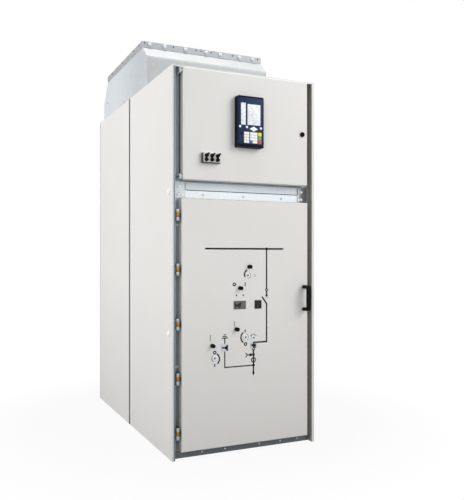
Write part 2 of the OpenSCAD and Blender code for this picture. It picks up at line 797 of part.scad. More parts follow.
base_front_strip();
base_side_rails();
base_cross_rails();
floor_plate();
left_front_side_panel();
left_rear_side_panel();
right_front_side_panel();
right_rear_side_panel();
left_front_post();
right_front_post();
mid_posts();
rear_posts();
door_lintel();
lv_sill();
rail_corner_plates();
top_rail();
lv_floor();
lv_back_wall();
lv_seal();
partition();
roof_plate();
rear_lower_panel();
rear_upper_panel();
duct_front_wall();
duct_rear_wall();
duct_left_end();
duct_right_end();
duct_top_cover();
hv_hinge_brackets();
lv_hinge_brackets();
side_caps();
hv_door_panel();
hv_hinge_knuckles();
hv_door_handle();
actuating_sockets();
inspection_window();
position_indicators();
counter_plate();
racking_knob();
release_knob();
closing_knob();
earthing_knob();
lv_door_panel();
lv_hinge_knuckles();
relay_case();
relay_faceplate();
relay_display();
relay_keys();
test_block();
test_plugs();
lv_lock();
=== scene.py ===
import json
from math import cos, pi, radians, sin

import bmesh
import bpy
from mathutils import Matrix, Vector


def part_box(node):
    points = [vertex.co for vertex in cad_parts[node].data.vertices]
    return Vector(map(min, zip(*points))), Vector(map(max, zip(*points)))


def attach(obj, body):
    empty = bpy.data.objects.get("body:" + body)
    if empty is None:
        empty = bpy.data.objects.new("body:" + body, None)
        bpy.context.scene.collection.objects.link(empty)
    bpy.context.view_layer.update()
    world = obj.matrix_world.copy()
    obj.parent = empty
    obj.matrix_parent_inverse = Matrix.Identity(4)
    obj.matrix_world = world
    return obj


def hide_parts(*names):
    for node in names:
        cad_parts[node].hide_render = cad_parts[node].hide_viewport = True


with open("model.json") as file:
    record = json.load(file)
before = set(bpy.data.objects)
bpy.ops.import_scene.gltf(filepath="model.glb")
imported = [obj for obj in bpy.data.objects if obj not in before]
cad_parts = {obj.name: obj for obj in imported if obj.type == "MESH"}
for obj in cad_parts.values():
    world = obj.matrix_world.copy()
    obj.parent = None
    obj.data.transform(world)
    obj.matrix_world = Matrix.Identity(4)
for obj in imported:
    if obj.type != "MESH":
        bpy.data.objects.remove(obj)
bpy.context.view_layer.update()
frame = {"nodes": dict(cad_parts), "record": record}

bl_info = {
    "name": "Switchgear Panel",
    "version": (1, 0, 0),
    "blender": (4, 5, 0),
    "location": "View3D > Sidebar > Switchgear",
    "description": "Dresses the solids of a metal-clad switchgear panel with finishes, fittings and markings",
    "category": "Object",
}

MM = 0.001
# Gap under which a printed line closes on itself, and how the names of the finishes begin
CLOSED, OWN = 0.01, "finish_"


def low(node):
    """Lowest corner of a CAD node, in millimetres."""
    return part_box(node)[0] / MM


def high(node):
    """Highest corner of a CAD node, in millimetres."""
    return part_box(node)[1] / MM


def middle(node):
    """Middle of a CAD node's box, in millimetres."""
    return (low(node) + high(node)) / 2


def opening(name):
    """Middle of one of the record's openings, in millimetres."""
    found = [o for o in frame["record"]["physics"]["openings"] if o["name"] == name][0]
    return (Vector(found["box_m"][0]) + Vector(found["box_m"][1])) / 2 / MM


# Faces and edges that the fittings sit on
LOWER_FACE = low("hv_door_panel").y
RELAY_FACE = low("relay_faceplate").y
FRAME_FACE = low("rail_corner_plates").y
POST_FACE = low("lv_sill").y
COVER_LOW = low("duct_top_cover")
COVER_HIGH = high("duct_top_cover")
FRONT, BACK, LEFT = (0, -1, 0), (0, 1, 0), (-1, 0, 0)


def linear(colour):
    """A screen colour as linear light, with full alpha."""
    return (*((c / 12.92 if c <= 0.04045 else ((c + 0.055) / 1.055) ** 2.4) for c in colour), 1.0)


def scaled(colour, factor):
    """A linear colour made darker or lighter."""
    return (*(min(1.0, c * factor) for c in colour[:3]), 1.0)


def length(name, default, text):
    """A size in metres, given in millimetres."""
    return bpy.props.FloatProperty(
        name=name, description=text, default=default * MM, min=0.0, unit="LENGTH", precision=5
    )


def shade(name, default, text):
    """A colour as the eye sees it on a screen, given in steps of 255."""
    shares = [c / 255 for c in default]
    return bpy.props.FloatVectorProperty(
        name=name, description=text, default=shares, size=3, min=0.0, max=1.0, subtype="COLOR_GAMMA"
    )


class SwitchgearColours(bpy.types.PropertyGroup):
    """Colours of the panel's finishes."""

    paint: shade("Paint", (226, 225, 222), "Light grey powder coat of the doors, sides and rear")
    steel: shade("Galvanised steel", (196, 203, 208), "Zinc-coated sheets of the frame")
    duct: shade("Duct sheets", (188, 193, 198), "Zinc-coated sheets of the relief duct")
    slope: shade("Duct front", (191, 193, 194), "Zinc-coated front sheet of the relief duct")
    # Painted light: the lintel's band is a lighter copy of the galvanised colour
    lintel: shade("Lintel", (216, 222, 226), "Bright lower band of the rail between the doors")
    # Painted shade: the left post is a darker copy of the galvanised colour, for its recess
    post: shade("Left post", (168, 178, 184), "Left front post in the recess beside the doors")
    # Painted shade: the right post is a darker, browner copy of the galvanised colour, for its recess
    right_post: shade("Right post", (160, 157, 151), "Right front post in the recess beside the doors")
    # Painted shade: the posts behind the joints are near-black, for the shadow in the joints
    joint: shade("Joint", (78, 76, 72), "Posts behind the open joints of the side panels")
    base: shade("Base strip", (104, 110, 116), "Dark grey strip along the floor")
    zinc: shade("Bright zinc", (214, 216, 218), "Hinge brackets and screws")
    sleeve: shade("Socket flange", (224, 227, 230), "Pale flanges of the crank sockets")
    yellow: shade("Yellow zinc", (144, 104, 20), "Middle knuckles of the lower door's hinges")
    black: shade("Black plastic", (13, 13, 14), "Handle, knobs, lock, plugs and relay case")
    rubber: shade("Rubber", (30, 31, 33), "Seal behind the upper door")
    white: shade("White plastic", (250, 250, 249), "Caps, indicator frames and relay keys")
    indicator: shade("Indicator", (204, 210, 217), "Pale windows of the position indicators")
    plate: shade("Counter plate", (104, 104, 104), "Grey plate with the counter's symbol")
    ink: shade("Mimic ink", (12, 12, 13), "Printed lines of the mimic diagram")
    faint_ink: shade("Faint ink", (150, 148, 146), "Thin printed marks beside the controls")
    window: shade("Window", (46, 44, 45), "Dark inspection window")
    relay: shade("Relay front", (32, 50, 82), "Blue front of the protection relay")
    screen: shade("Screen", (240, 244, 249), "Relay screen and lamp strip")
    yellow_key: shade("Yellow key", (246, 222, 40), "Upper coloured key")
    green_key: shade("Green key", (66, 178, 60), "Middle coloured key")
    red_key: shade("Red key", (222, 52, 62), "Lower coloured key")
    blue_key: shade("Blue key", (48, 92, 150), "Key at the keypad's lower left")


class SwitchgearSizes(bpy.types.PropertyGroup):
    """Sizes of the fittings that the solids leave out."""

    soft_edge: length("Soft edge", 0.6, "Rounding on the edges of small metal pieces")
    moulded_edge: length("Moulded edge", 1.2, "Rounding on the edges of plastic pieces")
    handle_edge: length("Handle edge", 4.0, "Rounding on the edges of the door handle")
    bus_line: length("Busbar line", 9.0, "Width of the mimic diagram's busbar")
    feeder_line: length("Feeder line", 8.0, "Width of the mimic diagram's feeder")
    thin_line: length("Thin line", 5.8, "Width of the marks beside the controls")
    rim_bolt: length("Rim bolt", 11.0, "Radius of the domed bolts on the duct's rim")
    screw: length("Screw", 6.0, "Radius of the screw heads on the frame")
    small_screw: length("Small screw", 3.2, "Radius of the screw heads on the duct's rim and the base")


def operation(name, swapped=False):
    """A method that adds a Math node for a socket and another value."""

    def method(self, other):
        first, second = (other, self) if swapped else (self, other)
        return self.graph.add("ShaderNodeMath", {"operation": name}, {0: first, 1: second})

    return method


class Socket:
    """A node's output. Arithmetic on it adds Math nodes to its tree."""

    __add__ = operation("ADD")
    __sub__ = operation("SUBTRACT")
    __rsub__ = operation("SUBTRACT", swapped=True)
    __mul__ = operation("MULTIPLY")
    __truediv__ = operation("DIVIDE")
    __gt__ = operation("GREATER_THAN")
    __lt__ = operation("LESS_THAN")
    least = operation("MINIMUM")
    most = operation("MAXIMUM")

    def __init__(self, graph, link):
        self.graph = graph
        self.link = link

    def clamped(self):
        """The value, kept from 0 to 1."""
        return self.most(0.0).least(1.0)

    def fraction(self):
        """The value's part after the decimal point."""
        return self.graph.add("ShaderNodeMath", {"operation": "FRACT"}, {0: self})


def spaced(sockets):
    """Sockets under their own names, which have spaces."""
    return {name.replace("_", " "): value for name, value in sockets.items()}


class Graph:
    """A node tree with one way of adding nodes."""

    def __init__(self, tree):
        self.tree = tree

    def add(self, kind, settings=None, sockets=None, out=0):
        """Adds a node, sets it up, fills its sockets and returns one of its outputs."""
        node = self.tree.nodes.new(kind)
        for name, value in (settings or {}).items():
            setattr(node, name, value)
        for key, value in (sockets or {}).items():
            if isinstance(value, Socket):
                self.tree.links.new(value.link, node.inputs[key])
            else:
                node.inputs[key].default_value = value
        return Socket(self, node.outputs[out]) if len(node.outputs) else None

    def named(self, name, kind):
        """A value that each point carries."""
        return self.add("GeometryNodeInputNamedAttribute", {"data_type": kind}, {"Name": name}, "Attribute")


class Finish(Graph):
    """A material made of nodes, on Object coordinates in metres."""

    def __init__(self, name):
        self.material = bpy.data.materials.new(OWN + name)
        self.material.use_nodes = True
        super().__init__(self.material.node_tree)
        self.tree.nodes.clear()
        self.place = self.add("ShaderNodeTexCoord", out="Object")

    def axis(self, name):
        """One coordinate of the surface point, in metres."""
        return self.add("ShaderNodeSeparateXYZ", sockets={0: self.place}, out=name)

    def noise(self, grain, detail=2.0, place=None):
        """Soft noise from 0 to 1 whose grains are that many millimetres across."""
        sockets = {"Vector": place or self.place, "Scale": 1 / (grain * MM), "Detail": detail}
        return self.add("ShaderNodeTexNoise", sockets=sockets, out="Fac")

    def cells(self, grain):
        """Crystal-like cells that are that many millimetres across, each with its own value from 0 to 1."""
        sockets = {"Vector": self.place, "Scale": 1 / (grain * MM), "Randomness": 1.0}
        colour = self.add("ShaderNodeTexVoronoi", {"feature": "F1"}, sockets, out="Color")
        return self.add("ShaderNodeSeparateColor", sockets={0: colour})

    def mix(self, factor, first, second):
        """A colour between two colours."""
        settings = {"data_type": "RGBA", "blend_type": "MIX"}
        return self.add("ShaderNodeMix", settings, {0: factor, 6: first, 7: second}, out=2)

    def varied(self, factor, colour, darkest, lightest):
        """A colour between a darker and a lighter tone of itself."""
        return self.mix(factor, scaled(colour, darkest), scaled(colour, lightest))

    def done(self, tone, gloss, skin=None, **sockets):
        """Closes the material; a skin is a height from 0 to 1, its depth in millimetres and its strength."""
        if skin:
            bump = dict(zip(("Height", "Distance", "Strength"), (skin[0], skin[1] * MM, skin[2])))
            sockets["Normal"] = self.add("ShaderNodeBump", sockets=bump)
        named = spaced(sockets | {"Base_Color": tone, "Roughness": gloss})
        shader = self.add("ShaderNodeBsdfPrincipled", sockets=named)
        self.add("ShaderNodeOutputMaterial", sockets={"Surface": shader})
        return self.material


# Height in metres at which painted shade on the paint begins, and its tone at the floor
FLOOR_SHADE_TOP, FLOOR_SHADE_TONE = 0.9, 0.84
# Darkest and lightest tones of zinc crystals and of plated steel, and the tone of painted shade on plated
# steel
SPANGLE, PLATING, BEHIND_SHADE = (0.9, 1.06), (0.82, 1.08), 0.06


def painted(name, colour, spread=0.03, roughness=0.42):
    """Powder coat: an orange-peel skin, large clouds in its tone and painted shade that darkens it near the
    floor.
    """
    finish = Finish(name)
    tone = finish.varied(finish.noise(420, detail=3.0), colour, 1 - spread, 1 + spread)
    # Painted shade: the paint grows darker from that height down to the floor
    floor_shade = (FLOOR_SHADE_TOP - finish.axis("Z")).clamped()
    tone = finish.mix(floor_shade, tone, scaled(colour, FLOOR_SHADE_TONE))
    peel = finish.noise(2.2, detail=1.5)
    gloss = finish.noise(60) * 0.1 + (roughness - 0.05)
    return finish.done(tone, gloss, (peel, 0.05, 0.35), Specular_IOR_Level=0.4)


def galvanised(name, colour, dull_or_shade=None, depth=1.0, metal=0.3):
    """Hot-dip zinc on sheet steel: spangle crystals under a bloom, with a part darkened by painted shade if
    it has one.
    """
    finish = Finish(name)
    spangle = finish.cells(14)
    bloom = finish.noise(180, detail=4.0)
    mixed = spangle * 0.6 + bloom * 0.4
    tone = finish.varied(mixed, colour, *SPANGLE)
    # Painted shade: where the mask is 1, the zinc takes a darker tone scaled by depth
    if dull_or_shade:
        dark = finish.varied(mixed, colour, *(depth * share for share in SPANGLE))
        tone = finish.mix(dull_or_shade(finish), tone, dark)
    gloss = spangle * 0.16 + bloom * 0.1 + 0.36
    return finish.done(tone, gloss, (finish.noise(1.2), 0.01, 0.4), Metallic=metal)


def plated(name, colour, metal=0.7, hidden=None):
    """Electroplated steel with fine rubbing marks along its height, dark with painted shade behind a depth.
    """
    finish = Finish(name)
    stretch = {0: finish.place, 1: (900.0, 900.0, 60.0)}
    stretched = finish.add("ShaderNodeVectorMath", {"operation": "MULTIPLY"}, stretch)
    rubbed = finish.noise(1000, place=stretched)
    tone = finish.varied(finish.noise(9), colour, *PLATING)
    # Painted shade: everything behind the depth takes a near-black tone
    if hidden is not None:
        tone = finish.mix(finish.axis("Y") > hidden * MM, tone, scaled(colour, BEHIND_SHADE))
    return finish.done(tone, rubbed * 0.2 + 0.25, (rubbed, 0.02, 0.3), Metallic=metal)


def moulded(name, colour, roughness, grain=0.9, shine=0.4, base=None):
    """Injection-moulded plastic with a fine grain, with painted shade left of and below a base corner if it
    has one.
    """
    finish = Finish(name)
    tone = finish.varied(finish.noise(22), colour, 0.9, 1.12)
    # Painted shade: near-black left of and below the corner
    if base:
        shadow = (finish.axis("X") < base[0] * MM).most(finish.axis("Z") < base[1] * MM)
        tone = finish.mix(shadow, tone, scaled(colour, 0.05))
    skin = finish.noise(grain, detail=1.0)
    gloss = finish.noise(14) * 0.12 + (roughness - 0.06)
    return finish.done(tone, gloss, (skin, 0.03, 0.35), Specular_IOR_Level=shine)


def printed(name, colour):
    """Screen-printed ink: nearly flat, with slight thin spots."""
    finish = Finish(name)
    thin = finish.noise(4, detail=3.0)
    tone = finish.varied(thin, colour, 0.85, 1.2)
    return finish.done(tone, thin * 0.15 + 0.4, (thin, 0.02, 0.3), Specular_IOR_Level=0.12)


def screen_glass(name, colour, ink, row=7.5, glow=0.08):
    """A lit panel behind clear plastic, with faint rows of unreadable grey marks."""
    finish = Finish(name)
    line = (finish.axis("Z") / (row * MM)).fraction()
    column = (finish.axis("X") / (row * 0.6 * MM)).fraction()
    marks = (line > 0.35) * (line < 0.65) * (column > 0.2) * (finish.noise(11) > 0.5)
    lit = finish.varied(finish.noise(30), colour, 0.95, 1.0)
    tone = finish.mix(marks * 0.8, lit, ink)
    light = {"Emission_Color": tone, "Emission_Strength": glow}
    return finish.done(tone, finish.noise(25) * 0.08 + 0.3, Specular_IOR_Level=0.2, **light)


def bevel(shape, edges, width, steps=2):
    """Rounds edges of a bmesh."""
    bmesh.ops.bevel(
        shape, geom=list(edges), offset=width, segments=steps, profile=0.5, affect="EDGES", clamp_overlap=True
    )


class Form:
    """A mesh under construction, in millimetres in the part's own frame."""

    def __init__(self):
        self.shape = bmesh.new()

    def keep(self, part, place):
        """Takes another bmesh in, moved to its place and with its faces turned outwards."""
        bmesh.ops.recalc_face_normals(part, faces=part.faces)
        part.transform(place)
        holder = bpy.data.meshes.new("part")
        part.to_mesh(holder)
        part.free()
        self.shape.from_mesh(holder)
        bpy.data.meshes.remove(holder)

    def extruded(self, outline, height, place, soft=0.0, base=0.0):
        """Stands a closed outline up by a height, with its upper edges rounded."""
        part = bmesh.new()
        lower = [part.verts.new((x, y, base)) for x, y in outline]
        upper = [part.verts.new((x, y, base + height)) for x, y in outline]
        part.faces.new(reversed(lower))
        top = part.faces.new(upper)
        count = len(outline)
        for i in range(count):
            j = (i + 1) % count
            part.faces.new((lower[i], lower[j], upper[j], upper[i]))
        if soft:
            bevel(part, top.edges, soft)
        self.keep(part, place)

    def turned(self, profile, place, steps=64):
        """Turns a profile of (radius, height) points round the local Z axis."""
        part = bmesh.new()
        rings = []
        for radius, height in profile:
            if radius == 0:
                rings.append([part.verts.new((0, 0, height))])
            else:
                rings.append([part.verts.new((x, y, height)) for x, y in circle(radius, steps)])
        for first, second in zip(rings, rings[1:]):
            for i in range(steps):
                j = (i + 1) % steps
                corners = [first[k % len(first)] for k in (i, j)] + [second[k % len(second)] for k in (j, i)]
                part.faces.new(list(dict.fromkeys(corners)))
        self.keep(part, place)

    def piece(self, name, body, slot, finish, *stands_for):
        """Adds the finished mesh to the scene as a piece, in metres."""
        mesh = bpy.data.meshes.new(name)
        self.shape.transform(Matrix.Scale(MM, 4))
        self.shape.to_mesh(mesh)
        self.shape.free()
        piece(name, shaded(mesh), body, slot, finish, *stands_for)


def shaded(mesh, smooth=35):
    """Smooths a mesh's shading up to an angle in degrees."""
    mesh.polygons.foreach_set("use_smooth", [True] * len(mesh.polygons))
    mesh.set_sharp_from_angle(angle=radians(smooth))
    return mesh


def out_of(x, y, z):
    """A place on a front face: local X runs right, local Y up and local Z out towards the viewer."""
    return Matrix(((1, 0, 0, x), (0, 0, -1, y), (0, 1, 0, z), (0, 0, 0, 1)))


def rectangle(width, height, corner, steps=4):
    """A centred outline with rounded corners."""
    points = []
    x, y = width / 2 - corner, height / 2 - corner
    for turn, (sx, sy) in enumerate(((1, 1), (-1, 1), (-1, -1), (1, -1))):
        angles = [pi / 2 * (turn + i / steps) for i in range(steps + 1)]
        points += [(sx * x + corner * cos(a), sy * y + corner * sin(a)) for a in angles]
    return points


def circle(radius, steps=32):
    """A round outline."""
    return [(radius * cos(2 * pi * i / steps), radius * sin(2 * pi * i / steps)) for i in range(steps)]


def rounded(profile, radius, steps=4):
    """A profile with each inner corner replaced by a small curve."""
    points = [profile[0]]
    for before, corner, after in zip(profile, profile[1:], profile[2:]):
        corner, before, after = Vector(corner), Vector(before), Vector(after)
        reach = min(radius, (before - corner).length / 2, (after - corner).length / 2)
        start = corner + (before - corner).normalized() * reach
        end = corner + (after - corner).normalized() * reach
        for i in range(steps + 1):
            t = i / steps
            points.append(tuple((1 - t) ** 2 * start + 2 * t * (1 - t) * corner + t**2 * end))
    points.append(profile[-1])
    return points


def softened(node, width, steps=2, sharp=40, swell=0.0):
    """A copy of a CAD node's mesh with its sharp edges rounded, its width and swell in metres."""
    shape = bmesh.new()
    shape.from_mesh(frame["nodes"][node].data)
    bmesh.ops.remove_doubles(shape, verts=shape.verts, dist=1e-6)
    bmesh.ops.dissolve_limit(shape, angle_limit=radians(1), verts=shape.verts, edges=shape.edges)
    edges = [e for e in shape.edges if e.is_manifold and e.calc_face_angle(0.0) > radians(sharp)]
    bevel(shape, edges, width, steps)
    shape.normal_update()
    for vert in shape.verts:
        vert.co += vert.normal * swell
    mesh = bpy.data.meshes.new(node)
    shape.to_mesh(mesh)
    shape.free()
    return shaded(mesh)


def placed(name, data):
    """A new object in the scene."""
    thing = bpy.data.objects.new(name, data)
    bpy.context.scene.collection.objects.link(thing)
    return thing


def piece(name, mesh, body, slot, finish=None, *stands_for):
    """Adds a finished mesh to the scene on its body, in place of the CAD nodes that it stands for."""
    thing = placed(name, mesh)
    if finish:
        mesh.materials.clear()
        mesh.materials.append(finish)
    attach(thing, body)
    if stands_for:
        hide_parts(*stands_for)


def dressed(node, body, slot, finish, edge, name=None, **shape):
    """Stands a copy of a CAD node with softened edges in for it."""
    piece(name or node + "_dressed", softened(node, edge, **shape), body, slot, finish, node)


def coat(node, finish):
    """Gives a CAD node its finish."""
    mesh = frame["nodes"][node].data
    mesh.materials.clear()
    mesh.materials.append(finish)


def finish_of(name):
    """A finish that an earlier step made."""
    return bpy.data.materials[OWN + name]


# Shares of a fastener's radius: its head's upper radius and height, and its washer's height
HEAD_TAPER, HEAD_HEIGHT, WASHER_HEIGHT = 0.93, 0.4, 0.18
# Sides of a fastener's head, washer and drive
HEAD_SIDES, WASHER_SIDES, DRIVE_SIDES = 32, 24, 6


def geometry_tree(name, inputs):
    """A Geometry Nodes tree with named inputs; returns its graph and a socket for each input."""
    tree = bpy.data.node_groups.new(name, "GeometryNodeTree")
    tree.interface.new_socket("Points", in_out="INPUT", socket_type="NodeSocketGeometry")
    for label, kind in inputs.items():
        tree.interface.new_socket(label, in_out="INPUT", socket_type=kind)
    tree.interface.new_socket("Geometry", in_out="OUTPUT", socket_type="NodeSocketGeometry")
    graph = Graph(tree)
    entry = tree.nodes.new("NodeGroupInput")
    return graph, {socket.name: Socket(graph, socket) for socket in entry.outputs if socket.name}


def realised(name, points, tree, values):
    """Runs a tree on a mesh of points and returns the result as a plain mesh."""
    holder = placed(name, points)
    modifier = holder.modifiers.new("tree", "NODES")
    modifier.node_group = tree
    for socket in tree.interface.items_tree:
        if socket.in_out == "INPUT" and socket.name in values:
            modifier[socket.identifier] = values[socket.name]
    graph = bpy.context.evaluated_depsgraph_get()
    mesh = bpy.data.meshes.new_from_object(holder.evaluated_get(graph), depsgraph=graph)
    mesh.name = name
    holder.modifiers.clear()
    bpy.data.objects.remove(holder)
    return mesh


def fastener_tree():
    """Heads on washers at each point, turned to face along the point's own direction."""
    sizes = ("Head radius", "Head height", "Dome", "Washer radius", "Washer height", "Socket radius")
    kinds = dict.fromkeys(sizes, "NodeSocketFloat")
    kinds |= dict.fromkeys(("Metal", "Shadow"), "NodeSocketMaterial")
    graph, inputs = geometry_tree("Fasteners", kinds)
    radius, height, dome, washer_radius, washer_height, socket_radius = (inputs[size] for size in sizes)

    def raised(kind, lift, scale=(1.0, 1.0, 1.0), **sockets):
        part = graph.add("GeometryNodeMesh" + kind, sockets=spaced(sockets))
        offset = graph.add("ShaderNodeCombineXYZ", sockets={"Z": lift})
        moved = {"Geometry": part, "Translation": offset, "Scale": scale}
        return graph.add("GeometryNodeTransform", sockets=moved)

    def joined(*parts):
        whole = graph.add("GeometryNodeJoinGeometry")
        for part in parts:
            graph.tree.links.new(part.link, whole.link.node.inputs[0])
        return whole

    def coated(part, material):
        sockets = {"Geometry": part, "Material": inputs[material]}
        return graph.add("GeometryNodeSetMaterial", sockets=sockets)

    upper = radius * HEAD_TAPER
    top = washer_height + height
    disc = {"Vertices": WASHER_SIDES, "Radius": washer_radius, "Depth": washer_height}
    washer = raised("Cylinder", washer_height * 0.5, **disc)
    cone = {"Vertices": HEAD_SIDES, "Radius_Top": upper, "Radius_Bottom": radius, "Depth": height}
    head = raised("Cone", washer_height + height * 0.5, **cone)
    flat = graph.add("ShaderNodeCombineXYZ", sockets={"X": 1.0, "Y": 1.0, "Z": dome})
    ball = raised("UVSphere", top, flat, Segments=24, Rings=12, Radius=upper)
    ball = graph.add("GeometryNodeSetShadeSmooth", sockets={0: ball})
    metal = coated(joined(washer, head, ball), "Metal")
    # Painted shade: a raised dark hex disc in the Shadow material stands for the shaded inside of the drive
    # socket
    hole = {"Vertices": DRIVE_SIDES, "Radius": socket_radius, "Depth": height * 0.2}
    drive = raised("Cylinder", top + dome * upper, **hole)
    has_drive = {"Switch": socket_radius > 0.0, "True": coated(drive, "Shadow")}
    drive = graph.add("GeometryNodeSwitch", {"input_type": "GEOMETRY"}, has_drive)
    facing = graph.named("facing", "FLOAT_VECTOR")
    turn = graph.add("FunctionNodeAlignRotationToVector", {"axis": "Z"}, {"Vector": facing})
    places = {"Points": inputs["Points"], "Instance": joined(metal, drive), "Rotation": turn}
    heads = graph.add("GeometryNodeInstanceOnPoints", sockets=places)
    plain = graph.add("GeometryNodeRealizeInstances", sockets={"Geometry": heads})
    graph.add("NodeGroupOutput", sockets={0: plain})
    return graph.tree


def stroke_tree():
    """Flat printed bands along polylines, as wide as each point's own width."""
    kinds = {"Thickness": "NodeSocketFloat", "Ink": "NodeSocketMaterial"}
    graph, inputs = geometry_tree("Printed strokes", kinds)
    line = graph.add("GeometryNodeMeshToCurve", sockets={"Mesh": inputs["Points"]})
    width = graph.named("width", "FLOAT")
    upright = {"Curve": line, "Normal": (0.0, -1.0, 0.0)}
    line = graph.add("GeometryNodeSetCurveNormal", {"mode": "FREE"}, upright)
    outline = {"Width": inputs["Thickness"], "Height": 1.0}
    band = graph.add("GeometryNodeCurvePrimitiveQuadrilateral", {"mode": "RECTANGLE"}, outline)
    swept = {"Curve": line, "Profile Curve": band, "Scale": width, "Fill Caps": True}
    film = graph.add("GeometryNodeCurveToMesh", sockets=swept)
    film = graph.add("GeometryNodeRealizeInstances", sockets={"Geometry": film})
    film = graph.add("GeometryNodeSetMaterial", sockets={"Geometry": film, "Material": inputs["Ink"]})
    graph.add("NodeGroupOutput", sockets={0: film})
    return graph.tree


def tree_of(name, make):
    """A Geometry Nodes tree by name, made the first time that it is asked for."""
    return bpy.data.node_groups.get(name) or make()


def fasteners(name, places, finish, radius, body="cabinet", dome=0.35, washer=1.25, drive=0.4):
    """One piece with a fastener at each place: a point in millimetres and the way that it faces."""
    points = bpy.data.meshes.new(name)
    points.from_pydata([Vector(at) * MM for at, _ in places], [], [])
    facing = points.attributes.new("facing", "FLOAT_VECTOR", "POINT")
    for value, (_, way) in zip(facing.data, places):
        value.vector = way
    values = {
        "Head radius": radius,
        "Head height": radius * HEAD_HEIGHT,
        "Dome": dome,
        "Washer radius": radius * washer,
        "Washer height": radius * WASHER_HEIGHT,
        "Socket radius": radius * drive,
        "Metal": finish,
        "Shadow": finish_of("dark_recess"),
    }
    mesh = realised(name, points, tree_of("Fasteners", fastener_tree), values)
    piece(name, shaded(mesh, 30), body, "zinc")


def strokes(name, lines, face, finish, body="hv_door"):
    """One piece of printed bands; a line is a list of (x, z) points and a width or a list of widths."""
    verts, edges, widths = [], [], []
    for points, width in lines:
        first, count = len(verts), len(points)
        closed = (Vector(points[0]) - Vector(points[-1])).length < CLOSED
        count -= closed
        points = points[:count]
        verts += [Vector((x, face, z)) * MM for x, z in points]
        edges += [(first + i, first + (i + 1) % count) for i in range(count - 1 + closed)]
        widths += width if isinstance(width, list) else [width] * len(points)
    mesh = bpy.data.meshes.new(name)
    mesh.from_pydata(verts, edges, [])
    values = mesh.attributes.new("width", "FLOAT", "POINT")
    values.data.foreach_set("value", [w * MM for w in widths])
    film = realised(name, mesh, tree_of("Printed strokes", stroke_tree), {"Thickness": 0.1, "Ink": finish})
    piece(name, film, body, "black_plastic")


def arc(x, z, radius, start, end, steps=24):
    """Points along an arc; the angles are in degrees, anticlockwise from the right."""
    angles = [radians(start + (end - start) * i / steps) for i in range(steps + 1)]
    return [(x + radius * cos(a), z + radius * sin(a)) for a in angles]


def ring(x, z, radius, width):
    """A printed ring."""
    return (arc(x, z, radius, 0, 360), width)


def dot(x, z, radius):
    """A printed dot: a ring that leaves only a pinhole."""
    return ring(x, z, radius * 0.52, radius * 0.96)


def mirrored(places):
    """Places and facings with their mirror images across the middle of the panel."""
    flip = Vector((-1, 1, 1))
    return places + [(Vector(at) * flip, Vector(way) * flip) for at, way in places]


def colour_of(name):
    """One of the panel's colours, as linear light."""
    return linear(getattr(bpy.context.scene.switchgear_colours, name))


def size_of(name):
    """One of the fittings' sizes, in metres."""
    return getattr(bpy.context.scene.switchgear_sizes, name)


class SwitchgearOperator:
    """Shared settings of the panel's operators."""

    bl_options = {"REGISTER", "UNDO"}


